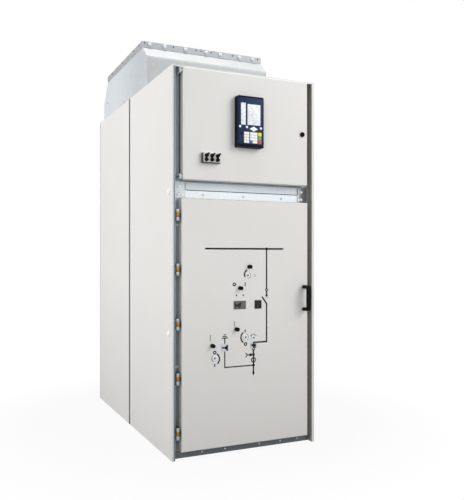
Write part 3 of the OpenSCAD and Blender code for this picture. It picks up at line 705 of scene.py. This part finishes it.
class SWITCHGEAR_OT_stage(SwitchgearOperator, bpy.types.Operator):
    """Sets up the floor, the soft light and the camera"""

    bl_idname = "switchgear.stage"
    bl_label = "Stage"

    LENS = 45.27
    CAMERA_AT = (-1.476, -3.731, 1.038)
    CAMERA_TURN = -24.92
    HORIZON_SHIFT = 0.0108
    FLOOR_REACH = 30.0
    LAMPS = (
        ("key_lamp", (3.2, -4.6, 3.9), (0.0, -0.7, 1.3), 3.0, 134.0),
        ("low_lamp", (1.5, -5.5, 0.9), (0.0, -0.7, 0.7), 2.0, 40.0),
        ("left_lamp", (-3.6, -5.2, 2.6), (-0.3, -0.7, 1.2), 2.5, 68.0),
        ("side_lamp", (-5.2, 0.4, 3.4), (-0.4, 0.0, 1.1), 3.0, 128.0),
        ("low_side_lamp", (-6.0, 0.3, 1.6), (-0.4, 0.0, 1.2), 3.0, 68.0),
        ("top_lamp", (0.0, -0.6, 5.2), (0.0, -0.3, 2.0), 2.0, 98.0),
    )
    WORLD_LEVEL = 0.25
    FLOOR_SHARE = 0.07
    # Extent of the floor's shadow round the part, and how fast it ends with each metre
    POOL, POOL_FALL = 2.6, 1.6
    FLOOR_TONES = (0.42, 0.46)

    def execute(self, context):
        scene = context.scene
        scene.view_settings.view_transform = "Standard"
        self.camera(scene)
        self.floor()
        self.world(scene)
        for name, place, aim, size, power in self.LAMPS:
            data = bpy.data.lights.new(name, "AREA")
            data.energy = power
            data.size = size
            lamp = placed(name, data)
            lamp.location = place
            lamp.rotation_euler = (Vector(aim) - Vector(place)).to_track_quat("-Z", "Y").to_euler()
        return {"FINISHED"}

    def camera(self, scene):
        data = bpy.data.cameras.new("camera")
        data.lens = self.LENS
        data.shift_y = self.HORIZON_SHIFT
        scene.camera = placed("camera", data)
        scene.camera.location = self.CAMERA_AT
        scene.camera.rotation_euler = (pi / 2, 0.0, radians(self.CAMERA_TURN))

    def seen(self, graph):
        """1 for rays from the camera, and for mirrored or refracted ones."""
        path = graph.add("ShaderNodeLightPath", out="Is Camera Ray")
        outputs = path.link.node.outputs
        glossy = Socket(graph, outputs["Is Glossy Ray"])
        through = Socket(graph, outputs["Is Transmission Ray"])
        return path.most(glossy).most(through)

    def floor(self):
        mesh = bpy.data.meshes.new("floor")
        reach = self.FLOOR_REACH
        corners = [(-reach, -reach, 0), (reach, -reach, 0), (reach, reach, 0), (-reach, reach, 0)]
        mesh.from_pydata(corners, [], [(0, 1, 2, 3)])
        floor = placed("floor", mesh)
        finish = Finish("pale_floor")
        speck = finish.varied(finish.noise(8), (1, 1, 1, 1), *self.FLOOR_TONES)
        matt = finish.add("ShaderNodeBsdfDiffuse", sockets={"Color": speck})
        white = finish.add("ShaderNodeEmission", sockets={"Color": (1, 1, 1, 1), "Strength": 1.0})
        away = finish.add("ShaderNodeVectorMath", {"operation": "LENGTH"}, {0: finish.place}, out="Value")
        near = (self.POOL - away * self.POOL_FALL).clamped()
        share = self.seen(finish) * (1 - near * self.FLOOR_SHARE)
        shader = finish.add("ShaderNodeMixShader", sockets={0: share, 1: matt, 2: white})
        finish.add("ShaderNodeOutputMaterial", sockets={"Surface": shader})
        mesh.materials.append(finish.material)

    def world(self, scene):
        world = bpy.data.worlds.new("studio")
        world.use_nodes = True
        scene.world = world
        graph = Graph(world.node_tree)
        graph.tree.nodes.clear()
        light, white = (
            graph.add("ShaderNodeBackground", sockets={"Color": (1, 1, 1, 1), "Strength": level})
            for level in (self.WORLD_LEVEL, 1.0)
        )
        sky = graph.add("ShaderNodeMixShader", sockets={0: self.seen(graph), 1: light, 2: white})
        graph.add("ShaderNodeOutputWorld", sockets={"Surface": sky})


class SWITCHGEAR_OT_cabinet(SwitchgearOperator, bpy.types.Operator):
    """Finishes the cabinet's sheets, frame and base"""

    bl_idname = "switchgear.cabinet"
    bl_label = "Cabinet"

    PAINTED = (
        *("left_front_side_panel", "left_rear_side_panel", "right_front_side_panel"),
        *("right_rear_side_panel", "rear_lower_panel", "rear_upper_panel"),
    )
    STEEL = (
        *("base_side_rails", "base_cross_rails", "floor_plate", "rear_posts", "lv_sill"),
        *("top_rail", "lv_floor", "lv_back_wall", "partition", "roof_plate"),
    )
    CAP_EDGE = 0.2 * MM
    # The right corner plate's band of painted shadow: its reach from the outer edge, its rise and its paler
    # rim
    BAND, BAND_RISE, RIM, RIM_SHARE = 72.0, 30.0, 14.0, 0.45
    # Height in metres below which the left post takes painted shade, darker towards the floor
    POST_SHADE_TOP = 1.5
    # Width and rearward shift of the dark strips of painted shade in the joints, and how far they stop short
    JOINT, SHIFT, INSET = 20.0, 2.0, 3.0
    # Width of the dark strips of painted shade along the side panels' edges
    SHADE_STRIP = 5.0
    # Gap over the upper door and setback of the roof's edge, and height and overlap of the sill's lip
    DOOR_GAP, SETBACK, LIP, OVERLAP = 1.5, 3.0, 16.0, 2.0
    # Tones of the sill's lip and of the strip beside the hinges against the left post's colour, both painted
    # shade
    LIP_TONE, TRIM_TONE = 0.6, 0.3

    def execute(self, context):
        paint = painted("light_paint", colour_of("paint"))
        for node in self.PAINTED:
            coat(node, paint)
        steel = galvanised("galvanised_sheet", colour_of("steel"))
        for node in self.STEEL:
            coat(node, steel)
        for node, name, colour, *dull_or_shade in (
            ("door_lintel", "lintel_steel", "lintel"),
            ("right_front_post", "right_steel", "right_post"),
            ("mid_posts", "joint_steel", "joint"),
            # Painted shadow: the right corner plate darkens in a band near its outer edge
            ("rail_corner_plates", "corner_steel", "steel", self.band, 0.16),
            # Painted shade: the left post grows darker from the given height down to the floor
            ("left_front_post", "shaded_steel", "post", self.near_floor, 0.62),
        ):
            coat(node, galvanised(name, colour_of(colour), *dull_or_shade))
        coat("base_front_strip", painted("dark_paint", colour_of("base"), spread=0.08))
        rubber = moulded("rubber", colour_of("rubber"), 0.7, grain=2.0)
        coat("lv_seal", rubber)
        self.edges(paint, rubber)
        white = moulded("white_plastic", colour_of("white"), 0.4)
        dressed("side_caps", "cabinet", "white_plastic", white, self.CAP_EDGE, "side_plugs")
        return {"FINISHED"}

    def band(self, finish):
        """How much painted shadow the corner plates take: 1 in a band near the right plate's outer edge."""
        inward = high("rail_corner_plates").x - finish.axis("X") / MM
        rise = ((self.BAND - inward) / self.BAND_RISE).clamped()
        return rise * (inward / self.RIM).most(self.RIM_SHARE).least(1.0)

    def near_floor(self, finish):
        """How much painted shade the left post takes, from 0 at the upper door to 1 at the floor."""
        return ((self.POST_SHADE_TOP - finish.axis("Z")) / self.POST_SHADE_TOP).clamped()

    def edges(self, paint, rubber):
        """Dark strips of painted shade in the side panels' joints and along their edges, and the edges of
        roof and sill, the sill's lip darkened as painted shade.
        """
        first, last = low("left_front_side_panel"), high("left_front_side_panel")
        tall, centre = last.z - first.z - 2 * self.INSET, (first.z + last.z) / 2
        joint = (last.y + low("left_rear_side_panel").y) / 2 + self.SHIFT
        rear = high("left_rear_side_panel").y - self.SHADE_STRIP / 2
        # Painted shade: dark rubber strips stand in for the shadow in the joints and along the rounded rear
        # edges
        strips = Form()
        for side, turn in ((first.x, 1), (-first.x, -1)):
            for y, width in ((joint, self.JOINT), (rear, self.SHADE_STRIP)):
                place = Matrix(((0, 0, -turn, side), (-turn, 0, 0, y), (0, 1, 0, centre), (0, 0, 0, 1)))
                strips.extruded(rectangle(width, tall, 1), 1.0, place, 0.3, -0.5)
        strips.piece("joint_strips", "cabinet", "seal_rubber", rubber)
        post, sill = low("left_front_post").x, high("lv_sill")
        height = last.z - high("lv_door_panel").z - self.DOOR_GAP
        # Painted shade: the sill's lip under the upper door and the strip along the front edge take darker
        # copies of the post's colour
        steel = galvanised("sill_steel", scaled(colour_of("post"), self.LIP_TONE))
        darker = scaled(colour_of("post"), self.TRIM_TONE)
        strip_shade = moulded("edge_trim", darker, 0.7, grain=2.0, shine=0.2)
        roof_at = out_of(0, first.y + self.SETBACK, last.z - height / 2 - 0.2)
        sill_at = out_of(0, POST_FACE, sill.z + self.LIP / 2 - self.OVERLAP)
        front_shade_at = out_of(post - self.SHADE_STRIP / 2, first.y, centre)
        for name, slot, finish, outline, *rest in (
            ("roof_edge", "light_paint", paint, (-2 * post, height, 1.5), 2.0, roof_at, 0.6),
            ("sill_lip", "galvanised", steel, (2 * sill.x, self.LIP, 1), 2.0, sill_at, 0.5),
            ("edge_bead", "seal_rubber", strip_shade, (self.SHADE_STRIP, tall, 1), 0.6, front_shade_at, 0.2, -0.3),
        ):
            form = Form()
            form.extruded(rectangle(*outline), *rest)
            form.piece(name, "cabinet", slot, finish)


class SWITCHGEAR_OT_duct(SwitchgearOperator, bpy.types.Operator):
    """Finishes the pressure-relief duct and bolts its rim"""

    bl_idname = "switchgear.duct"
    bl_label = "Relief duct"

    BOLT_X = (-348, -255, -121, 14, 108, 240, 335)
    SCREW_X = (-379, -199, -52, -19, 49, 194, 372)
    END_SCREW_Y = (-81, 35, 160, 292, 427, 562)
    PLATE_SCREWS = ((-200, 2132), (700, 2120), (250, 2030))
    # How far below the cover's top the bolts, the screws and the fold of the front sheet are
    BOLT_DROP, SCREW_DROP, FOLD_DROP = 19, 14, 122
    # Where painted shade on the end plates begins towards the front, and over what length, in metres
    FADE_START, FADE_REACH = 0.45, 0.5
    # How metallic the pale sheets are, and the tones of the end plates and the rim: a lighter copy of the
    # duct's colour as painted light and a darker one as painted shade
    SATIN, END_TONE, RIM_TONE = 0.08, 1.26, 0.67

    def execute(self, context):
        plated("bright_zinc", colour_of("zinc"))
        dark = moulded("dark_recess", colour_of("black"), 0.6, shine=0.05)
        duct = colour_of("duct")
        coat("duct_rear_wall", galvanised("duct_steel", duct))
        # Painted shade: the front sheet below its fold takes a darker tone than its slope
        front = galvanised("slope_steel", colour_of("slope"), self.below_fold, 0.84, self.SATIN)
        coat("duct_front_wall", front)
        # Painted light and shade: the end plates are a lighter copy of the duct's colour, darkening towards
        # the front
        pale = scaled(duct, self.END_TONE)
        end = galvanised("end_steel", pale, self.near_front, 0.77, self.SATIN)
        for node in ("duct_left_end", "duct_right_end"):
            coat(node, end)
        # Painted shade: the rim is a darker copy of the duct's galvanised colour
        coat("duct_top_cover", galvanised("rim_steel", scaled(duct, self.RIM_TONE)))
        edges = ((COVER_LOW.y, FRONT), (COVER_HIGH.y, BACK))
        z = COVER_HIGH.z - self.BOLT_DROP
        bolts = [((x, y, z), way) for y, way in edges for x in self.BOLT_X]
        steel = galvanised("bolt_steel", colour_of("zinc"), metal=0.1)
        fasteners("rim_bolts", bolts, steel, size_of("rim_bolt"), dome=0.55, washer=1.15, drive=0.0)
        z = COVER_HIGH.z - self.SCREW_DROP
        screws = [((x, y, z), way) for y, way in edges for x in self.SCREW_X]
        for y in self.END_SCREW_Y:
            screws += mirrored([((COVER_LOW.x, y, z), LEFT)])
        fasteners("rim_screws", screws, dark, size_of("small_screw"), dome=0.3)
        x = low("duct_left_end").x
        plate = mirrored([((x, y, z), LEFT) for y, z in self.PLATE_SCREWS])
        fasteners("end_plate_screws", plate, steel, size_of("screw"), washer=1.5)
        return {"FINISHED"}

    def below_fold(self, finish):
        """1 where the front sheet is below its slope, where it takes painted shade."""
        return finish.axis("Z") < (COVER_HIGH.z - self.FOLD_DROP) * MM

    def near_front(self, finish):
        """How much painted shade the end plates take, from 0 at the rear to 1 at the front."""
        return ((self.FADE_START - finish.axis("Y")) / self.FADE_REACH).clamped()


class SWITCHGEAR_OT_hinges(SwitchgearOperator, bpy.types.Operator):
    """Finishes the hinges of both doors"""

    bl_idname = "switchgear.hinges"
    bl_label = "Hinges"

    # Depth of the knuckles' front, behind which the hinges take painted shade, and the tone of the zinc
    BRIGHT, TONE = 5, 0.55

    def execute(self, context):
        # Painted shade: the hinges turn near-black behind their front
        depth = low("hv_hinge_knuckles").y + self.BRIGHT
        zinc = plated("hinge_zinc", scaled(colour_of("zinc"), self.TONE), metal=0.4, hidden=depth)
        yellow = plated("yellow_zinc", colour_of("yellow"), metal=0.5, hidden=depth)
        dull_or_shade = galvanised("hinge_steel", colour_of("steel"), metal=0.1)
        edge = size_of("soft_edge")
        for node, body, slot, finish in (
            ("hv_hinge_brackets", "cabinet", "zinc", zinc),
            ("lv_hinge_brackets", "cabinet", "zinc", dull_or_shade),
            ("hv_hinge_knuckles", "hv_door", "yellow_zinc", yellow),
            ("lv_hinge_knuckles", "lv_door", "zinc", dull_or_shade),
        ):
            dressed(node, body, slot, finish, edge)
        return {"FINISHED"}


class SWITCHGEAR_OT_lower_door(SwitchgearOperator, bpy.types.Operator):
    """Finishes the switching compartment's door, its handle, sockets, windows and plates"""

    bl_idname = "switchgear.lower_door"
    bl_label = "Lower door"

    def execute(self, context):
        coat("hv_door_panel", finish_of("light_paint"))
        black = moulded("black_plastic", colour_of("black"), 0.5, shine=0.06)
        pale = plated("pale_zinc", colour_of("sleeve"), metal=0.15)
        round_edge, edge = size_of("handle_edge"), size_of("soft_edge")
        dressed("hv_door_handle", "hv_door", "black_plastic", black, round_edge, "bow_handle", steps=3)
        dressed("actuating_sockets", "hv_door", "zinc", pale, edge, "crank_sockets")
        window = moulded("dark_window", colour_of("window"), 0.3, grain=4.0, shine=0.08)
        coat("inspection_window", window)
        coat("position_indicators", moulded("indicator_plastic", colour_of("indicator"), 0.4))
        coat("counter_plate", printed("counter_plate", colour_of("plate")))
        return {"FINISHED"}


class SWITCHGEAR_OT_knobs(SwitchgearOperator, bpy.types.Operator):
    """Shapes the four operating knobs"""

    bl_idname = "switchgear.knobs"
    bl_label = "Knobs"

    KNOBS = ("racking_knob", "release_knob", "closing_knob", "earthing_knob")
    # Spindle's length and radius, neck's radius, head's height and how much slimmer the knob is
    TAIL, SPINDLE, NECK, HEAD, SLIM = 7.5, 4, 6.5, 12, 2.0
    # Lift off the door, and height and upper end of the foot
    LIFT, FOOT, FOOT_END = 0.4, 3.5, 6.5
    CURVE = 1.2
    BAR = (4, 20, 1.8)

    def execute(self, context):
        black = finish_of("black_plastic")
        for node in self.KNOBS:
            at = middle(node)
            reach = LOWER_FACE - low(node).y
            radius = (high(node).x - low(node).x) / 2 - self.SLIM
            profile = [
                (0, -self.TAIL),
                (self.SPINDLE, -self.TAIL),
                (self.SPINDLE, self.LIFT),
                (radius, self.LIFT),
                (radius, self.FOOT),
                (self.NECK, self.FOOT_END),
                (self.NECK, reach - self.HEAD - 1.5),
                (radius, reach - self.HEAD + 1),
                (radius, reach - 1.2),
                (0, reach - 1.0),
            ]
            form = Form()
            form.turned(rounded(profile, self.CURVE), out_of(at.x, LOWER_FACE, at.z))
            form.extruded(rectangle(*self.BAR), 1.1, out_of(at.x, LOWER_FACE - reach + 1.15, at.z), 0.4)
            form.piece(node + "_dressed", node, "black_plastic", black, node)
        return {"FINISHED"}


class SWITCHGEAR_OT_mimic(SwitchgearOperator, bpy.types.Operator):
    """Prints the mimic diagram and the marks beside the controls"""

    bl_idname = "switchgear.mimic"
    bl_label = "Mimic diagram"

    # Places on the door are x and z in millimetres
    BUS = (-243, 216, 1073)
    FEEDER_X = 114
    BREAKER_X = 35
    EARTH_X = -132
    # How much thinner the earthing branch is than the feeder
    THINNER = 1.8

    def execute(self, context):
        ink = printed("mimic_ink", colour_of("ink"))
        faint = printed("faint_ink", colour_of("faint_ink"))
        bus = size_of("bus_line") / MM
        feeder = size_of("feeder_line") / MM
        thin = size_of("thin_line") / MM
        branch = feeder - self.THINNER
        left, right, bus_z = self.BUS
        x, b, e = self.FEEDER_X, self.BREAKER_X, self.EARTH_X
        lines = [
            ([(left, bus_z), (right, bus_z)], bus),
            dot(x, bus_z, 8),
            ([(x, bus_z), (x, 860)], feeder),
            ring(x, 853, 6, thin),
            ([(x, 846), (x, 818)], feeder),
            dot(x, 823, 6.5),
            ([(x - 7, 808), (x, 818), (x + 7, 808)], 2),
            ([(x - 28, 818), (x, 779)], feeder),
            ([(x, 782), (x, 576)], feeder),
            ([(x + feeder / 2, 576), (b - feeder / 2, 576)], feeder),
            ([(b, 576), (b, 556)], feeder),
            ([(b, 536), (b, 420)], feeder),
            ring(b, 541, 6, thin),
            dot(b, 511, 8.5),
            dot(b, 455, 8.5),
            ring(b, 483, 12, thin),
            dot(b - 17, 511, 8),
            ([(b - 24, 511), (b - 36, 511)], thin),
            ([(b - 46, 522), (b - 36, 511), (b - 46, 500)], thin),
            ([(b, 430), (b, 414), (b, 400)], [3.0, 14.0, 1.0]),
            ([(b, 455), (e - branch / 2, 455)], branch),
            ([(e, 455), (e, 538)], branch),
            ([(e, 578), (e, 607)], branch),
            ([(e - 18, 608), (e + 18, 608)], 5),
            ([(e - 12, 616), (e + 12, 616)], 5),
            ([(e - 6, 625), (e + 6, 625)], 5),
        ]
        lines += self.marks(thin)
        strokes("mimic_diagram", lines, LOWER_FACE, ink)
        closing, earthing = middle("closing_knob"), middle("earthing_knob")
        breaker = opening("breaker_socket")
        faint_lines = [
            ([(closing.x - 11, closing.z + 43), (closing.x - 11, closing.z + 15)], thin),
            ([(earthing.x - 9, earthing.z + 56), (earthing.x - 9, earthing.z + 25)], thin),
            (arc(breaker.x, breaker.z, 18, 25, 155), thin),
            ([(36, 924), (50, 931), (36, 938)], 3.5),
        ]
        # Painted shade: faint arcs round the racking, closing and earthing sockets stand for the shading at
        # their rims
        for name, start in (("racking_socket", -75), ("closing_socket", -60), ("earthing_socket", 120)):
            place = opening(name)
            faint_lines.append((arc(place.x, place.z, 17, start, start + 135), 3.5))
        strokes("faint_marks", faint_lines, LOWER_FACE, faint)
        self.pictograms(ink)
        return {"FINISHED"}

    def marks(self, thin):
        """Turning arcs, and the marks for open and closed beside each socket."""
        racking, closing, earthing = (opening(n + "_socket") for n in ("racking", "closing", "earthing"))
        stroke = thin + 1.5
        return [
            (arc(racking.x + 8, racking.z + 4, 27, 118, 205), stroke),
            ring(-77, 886, 7, thin),
            ([(-14, 896), (-14, 877)], thin),
            (arc(closing.x + 4, closing.z, 31, 122, 238), stroke),
            ring(closing.x, closing.z - 35, 7, thin),
            ([(closing.x - 2, closing.z + 42), (closing.x - 2, closing.z + 26)], thin),
            (arc(earthing.x - 4, earthing.z - 4, 31, -52, 58), stroke),
            ring(earthing.x, earthing.z + 30, 7, thin),
            ([(earthing.x, earthing.z - 28), (earthing.x, earthing.z - 44)], thin),
        ]

    def pictograms(self, ink):
        """Symbols in the position indicators and on the counter plate."""
        indicator = low("position_indicators").y
        b = self.BREAKER_X
        lines = [
            ([(-150, 558), (-118, 558)], 7),
            ([(-136, 557), (-116, 557)], [3.0, 33.0]),
            ([(54, 576), (b, 576)], 7),
            ([(22, 562), (48, 562)], 11),
            ([(b, 579), (b, 546)], 7),
            ([(38, 556), (46, 548)], [4.0, 10.0]),
        ]
        strokes("indicator_signs", lines, indicator, ink)
        first, last = low("counter_plate"), high("counter_plate")
        width, height = last.x - first.x, last.z - first.z

        def at(u, v):
            return first.x + u * width, last.z - v * height

        sign = [
            ring(*at(0.44, 0.56), 0.11 * width, 6),
            dot(*at(0.44, 0.56), 0.04 * width),
            ([at(0.08, 0.27), at(0.17, 0.5), at(0.33, 0.54)], 6),
            ([at(0.17, 0.5), at(0.15, 0.84)], 6),
            ([at(0.6, 0.22), at(0.5, 0.4)], 6),
        ]
        strokes("counter_sign", sign, first.y, ink)


class SWITCHGEAR_OT_upper_door(SwitchgearOperator, bpy.types.Operator):
    """Finishes the control compartment's door, its lock and the test block with its plugs"""

    bl_idname = "switchgear.upper_door"
    bl_label = "Upper door"

    # Reach of the test block's painted shadow from its lower left corner, along X, Y and Z
    SHADOW = (3.0, 0.0, 3.5)
    SWELL = 1.2 * MM

    def execute(self, context):
        coat("lv_door_panel", finish_of("light_paint"))
        black = finish_of("black_plastic")
        edge = size_of("moulded_edge")
        corner = low("test_block") + Vector(self.SHADOW)
        base = (corner.x, corner.z)
        light = moulded("light_plastic", colour_of("paint"), 0.45, shine=0.3, base=base)
        dressed("test_block", "lv_door", "light_plastic", light, edge)
        dressed("test_plugs", "lv_door", "black_plastic", black, edge, swell=self.SWELL)
        dressed("lv_lock", "lv_lock", "black_plastic", black, edge, "lock_dressed")
        return {"FINISHED"}


class SWITCHGEAR_OT_relay(SwitchgearOperator, bpy.types.Operator):
    """Finishes the protection relay: case, front, screen, lamps and keys"""

    bl_idname = "switchgear.relay"
    bl_label = "Protection relay"

    # Places are shares of the front's width and height from its left and top edges; sizes are millimetres
    PANES = ((75, 108, 0.615, 0.36), (27, 114, 0.205, 0.355))
    ROUND_KEYS = ((0.08, 0.605), (0.34, 0.61), (0.885, 0.615))
    ROUND_KEY = 6.5
    ARROWS = ((-25, 0), (0, -13), (25, 0), (0, 13))
    ARROWS_AT = (0.605, 0.64)
    KEY_COLUMNS = (0.28, 0.38, 0.51, 0.605, 0.7)
    KEY_ROWS = (0.73, 0.785, 0.84, 0.895)
    KEY = (14.2, 13.4, 1.5)
    EMPTY = (0.51, 0.895)
    COLOUR_KEYS = (
        ("yellow_key", 19, 19, 0.84, 0.738),
        ("green_key", 19, 19, 0.84, 0.818),
        ("red_key", 19, 19, 0.84, 0.894),
        ("blue_key", 17, 13.4, 0.5, 0.897),
    )
    CORNER, SUNK = 1.5, -0.2
    # Height and rounding of the round keys, of the square keys and of the panes
    ROUND, SQUARE, PANE = (2.2, 0.7), (2.0, 0.5), (1.2, 0.4)

    def execute(self, context):
        edge = size_of("moulded_edge")
        black, white = finish_of("black_plastic"), finish_of("white_plastic")
        blue = moulded("relay_front", colour_of("relay"), 0.4, grain=1.5, shine=0.12)
        dressed("relay_case", "lv_door", "black_plastic", black, edge)
        dressed("relay_faceplate", "lv_door", "relay_blue", blue, edge, "relay_front_dressed")
        self.fitted("relay_bands", "black_plastic", black, self.bands())
        screen = screen_glass("relay_screen", colour_of("screen"), colour_of("faint_ink"))
        panes = [(rectangle(w, h, self.CORNER), *self.PANE, u, v) for w, h, u, v in self.PANES]
        self.fitted("relay_screen_dressed", "display", screen, panes, "relay_display", sunk=2 * self.SUNK)
        self.fitted("relay_keys_dressed", "white_plastic", white, self.keys(), "relay_keys")
        for name, width, height, u, v in self.COLOUR_KEYS:
            key = (rectangle(width, height, self.CORNER), *self.SQUARE, u, v)
            self.fitted("relay_" + name, "white_plastic", moulded(name, colour_of(name), 0.35), [key])
        return {"FINISHED"}

    def fitted(self, name, slot, finish, rows, *stands_for, sunk=SUNK):
        """One piece of outlines on the relay's front, each with its height, rounding and place."""
        first, last = low("relay_faceplate"), high("relay_faceplate")
        form = Form()
        for outline, height, soft, u, v in rows:
            x, z = first.x + u * (last.x - first.x), last.z - v * (last.z - first.z)
            form.extruded(outline, height, out_of(x, RELAY_FACE, z), soft, sunk)
        form.piece(name, "lv_door", slot, finish, *stands_for)

    def bands(self):
        """Black bands round the front, and the round port."""
        size = high("relay_faceplate") - low("relay_faceplate")
        side = rectangle(5, size.z - 6, 1)
        return [
            (rectangle(size.x - 3, 7, 1.5), 0.6, 0.2, 0.5, 0.018),
            (rectangle(size.x - 3, 15, 2), 0.6, 0.2, 0.5, 0.968),
            (side, 0.7, 0.2, 0.012, 0.5),
            (side, 0.7, 0.2, 0.98, 0.5),
            (circle(6), 0.8, 0.3, 0.13, 0.745),
        ]

    def keys(self):
        """White keys and the arrow pad."""
        rows = [(circle(self.ROUND_KEY), *self.ROUND, u, v) for u, v in self.ROUND_KEYS]
        rows.append((self.ARROWS, *self.ROUND, *self.ARROWS_AT))
        places = [(u, v) for u in self.KEY_COLUMNS for v in self.KEY_ROWS if (u, v) != self.EMPTY]
        return rows + [(rectangle(*self.KEY), *self.SQUARE, u, v) for u, v in places]


class SWITCHGEAR_OT_screws(SwitchgearOperator, bpy.types.Operator):
    """Sets the screws of the front frame, the base strip and the rear panels"""

    bl_idname = "switchgear.screws"
    bl_label = "Screws"

    RAIL_X = (-232, 0, 232)
    RAIL_Z = 1352
    CORNER = ((-368, 1390), (-370, 1350), (-350, 1348), (358, 1390), (358, 1349), (341, 1348))
    POST = ((-378, 1196), (-378, 468))
    BASE_X = (-241, -109, 93, 223, 331)
    DOOR = ((-65, 828), (-26, 828))
    REAR_ROWS, REAR_INSET = 5, 22
    # Punched holes in the corner plates, printed as dark dots of painted shade, and the inner edge of the
    # plates from their outer edge
    HOLES = ((390, 1393), (371, 1386), (394, 1356), (368, 1360))
    HOLE, PLATE = 2.6, 68
    # Widths of the seam's painted shadow under the rail's upper band and beside the plates, and the seam's
    # upper end
    SEAM, EDGE_SEAM, SEAM_END = 4.0, 3.5, 4.0
    # Tone of the painted shadow in the seams and holes
    SEAM_TONE = (0.24, 0.27, 0.3)

    def execute(self, context):
        zinc, dark = finish_of("bright_zinc"), finish_of("dark_recess")
        size, small = size_of("screw"), size_of("small_screw")
        rail = [((x, POST_FACE, self.RAIL_Z), FRONT) for x in self.RAIL_X]
        fasteners("rail_screws", rail, finish_of("pale_zinc"), size)
        corners = [((x, FRAME_FACE, z), FRONT) for x, z in self.CORNER]
        posts = mirrored([((x, POST_FACE, z), FRONT) for x, z in self.POST])
        white = finish_of("white_plastic")
        fasteners("frame_screws", corners + posts, white, size, drive=0.0)
        door = [((x, LOWER_FACE, z), FRONT) for x, z in self.DOOR]
        fasteners("door_screws", door, dark, small, "hv_door")
        self.seams()
        strip = [((x, FRAME_FACE, high("base_front_strip").z / 2), FRONT) for x in self.BASE_X]
        fasteners("base_screws", strip, zinc, small)
        rear = []
        for node in ("rear_lower_panel", "rear_upper_panel"):
            x, y = low(node).x + self.REAR_INSET, high(node).y
            bottom, top = low(node).z + self.REAR_INSET, high(node).z - self.REAR_INSET
            for i in range(self.REAR_ROWS):
                z = bottom + (top - bottom) * i / (self.REAR_ROWS - 1)
                rear += mirrored([((x, y, z), BACK)])
            rear += [((0, y, z), BACK) for z in (bottom, top)]
        fasteners("rear_screws", rear, zinc, size)
        return {"FINISHED"}

    def seams(self):
        """Painted shadow along the seams between the rail's two bands and beside its corner plates, and dark
        dots in the plates' holes.
        """
        edge = -low("rail_corner_plates").x - self.PLATE
        seam, upper = low("lv_sill").z, high("lv_sill").z - self.SEAM_END
        dark = printed("seam_shadow", linear(self.SEAM_TONE))
        strokes("rail_seams", [([(-edge, seam), (edge, seam)], self.SEAM)], POST_FACE, dark, "cabinet")
        marks = [dot(side * x, z, self.HOLE) for side in (-1, 1) for x, z in self.HOLES]
        marks += [([(x, seam), (x, upper)], self.EDGE_SEAM) for x in (-edge, edge)]
        strokes("plate_marks", marks, FRAME_FACE, dark, "cabinet")


class SWITCHGEAR_PT_panel(bpy.types.Panel):
    """Lists the steps, with the sizes and colours that they use"""

    bl_label = "Switchgear Panel"
    bl_idname = "SWITCHGEAR_PT_panel"
    bl_space_type = "VIEW_3D"
    bl_region_type = "UI"
    bl_category = "Switchgear"

    def draw(self, context):
        layout = self.layout
        for step in STEPS:
            layout.operator(step.bl_idname)
        for group in (context.scene.switchgear_sizes, context.scene.switchgear_colours):
            column = layout.column()
            for name in group.__annotations__:
                column.prop(group, name)


STEPS = (
    SWITCHGEAR_OT_stage,
    SWITCHGEAR_OT_cabinet,
    SWITCHGEAR_OT_duct,
    SWITCHGEAR_OT_hinges,
    SWITCHGEAR_OT_lower_door,
    SWITCHGEAR_OT_knobs,
    SWITCHGEAR_OT_mimic,
    SWITCHGEAR_OT_upper_door,
    SWITCHGEAR_OT_relay,
    SWITCHGEAR_OT_screws,
)
CLASSES = (SwitchgearColours, SwitchgearSizes, *STEPS, SWITCHGEAR_PT_panel)


def register():
    for cls in CLASSES:
        bpy.utils.register_class(cls)
    bpy.types.Scene.switchgear_colours = bpy.props.PointerProperty(type=SwitchgearColours)
    bpy.types.Scene.switchgear_sizes = bpy.props.PointerProperty(type=SwitchgearSizes)


def unregister():
    del bpy.types.Scene.switchgear_sizes
    del bpy.types.Scene.switchgear_colours
    for cls in reversed(CLASSES):
        bpy.utils.unregister_class(cls)


def main():
    register()
    for step in STEPS:
        group, name = step.bl_idname.split(".")
        getattr(getattr(bpy.ops, group), name)()


if __name__ == "__main__":
    main()
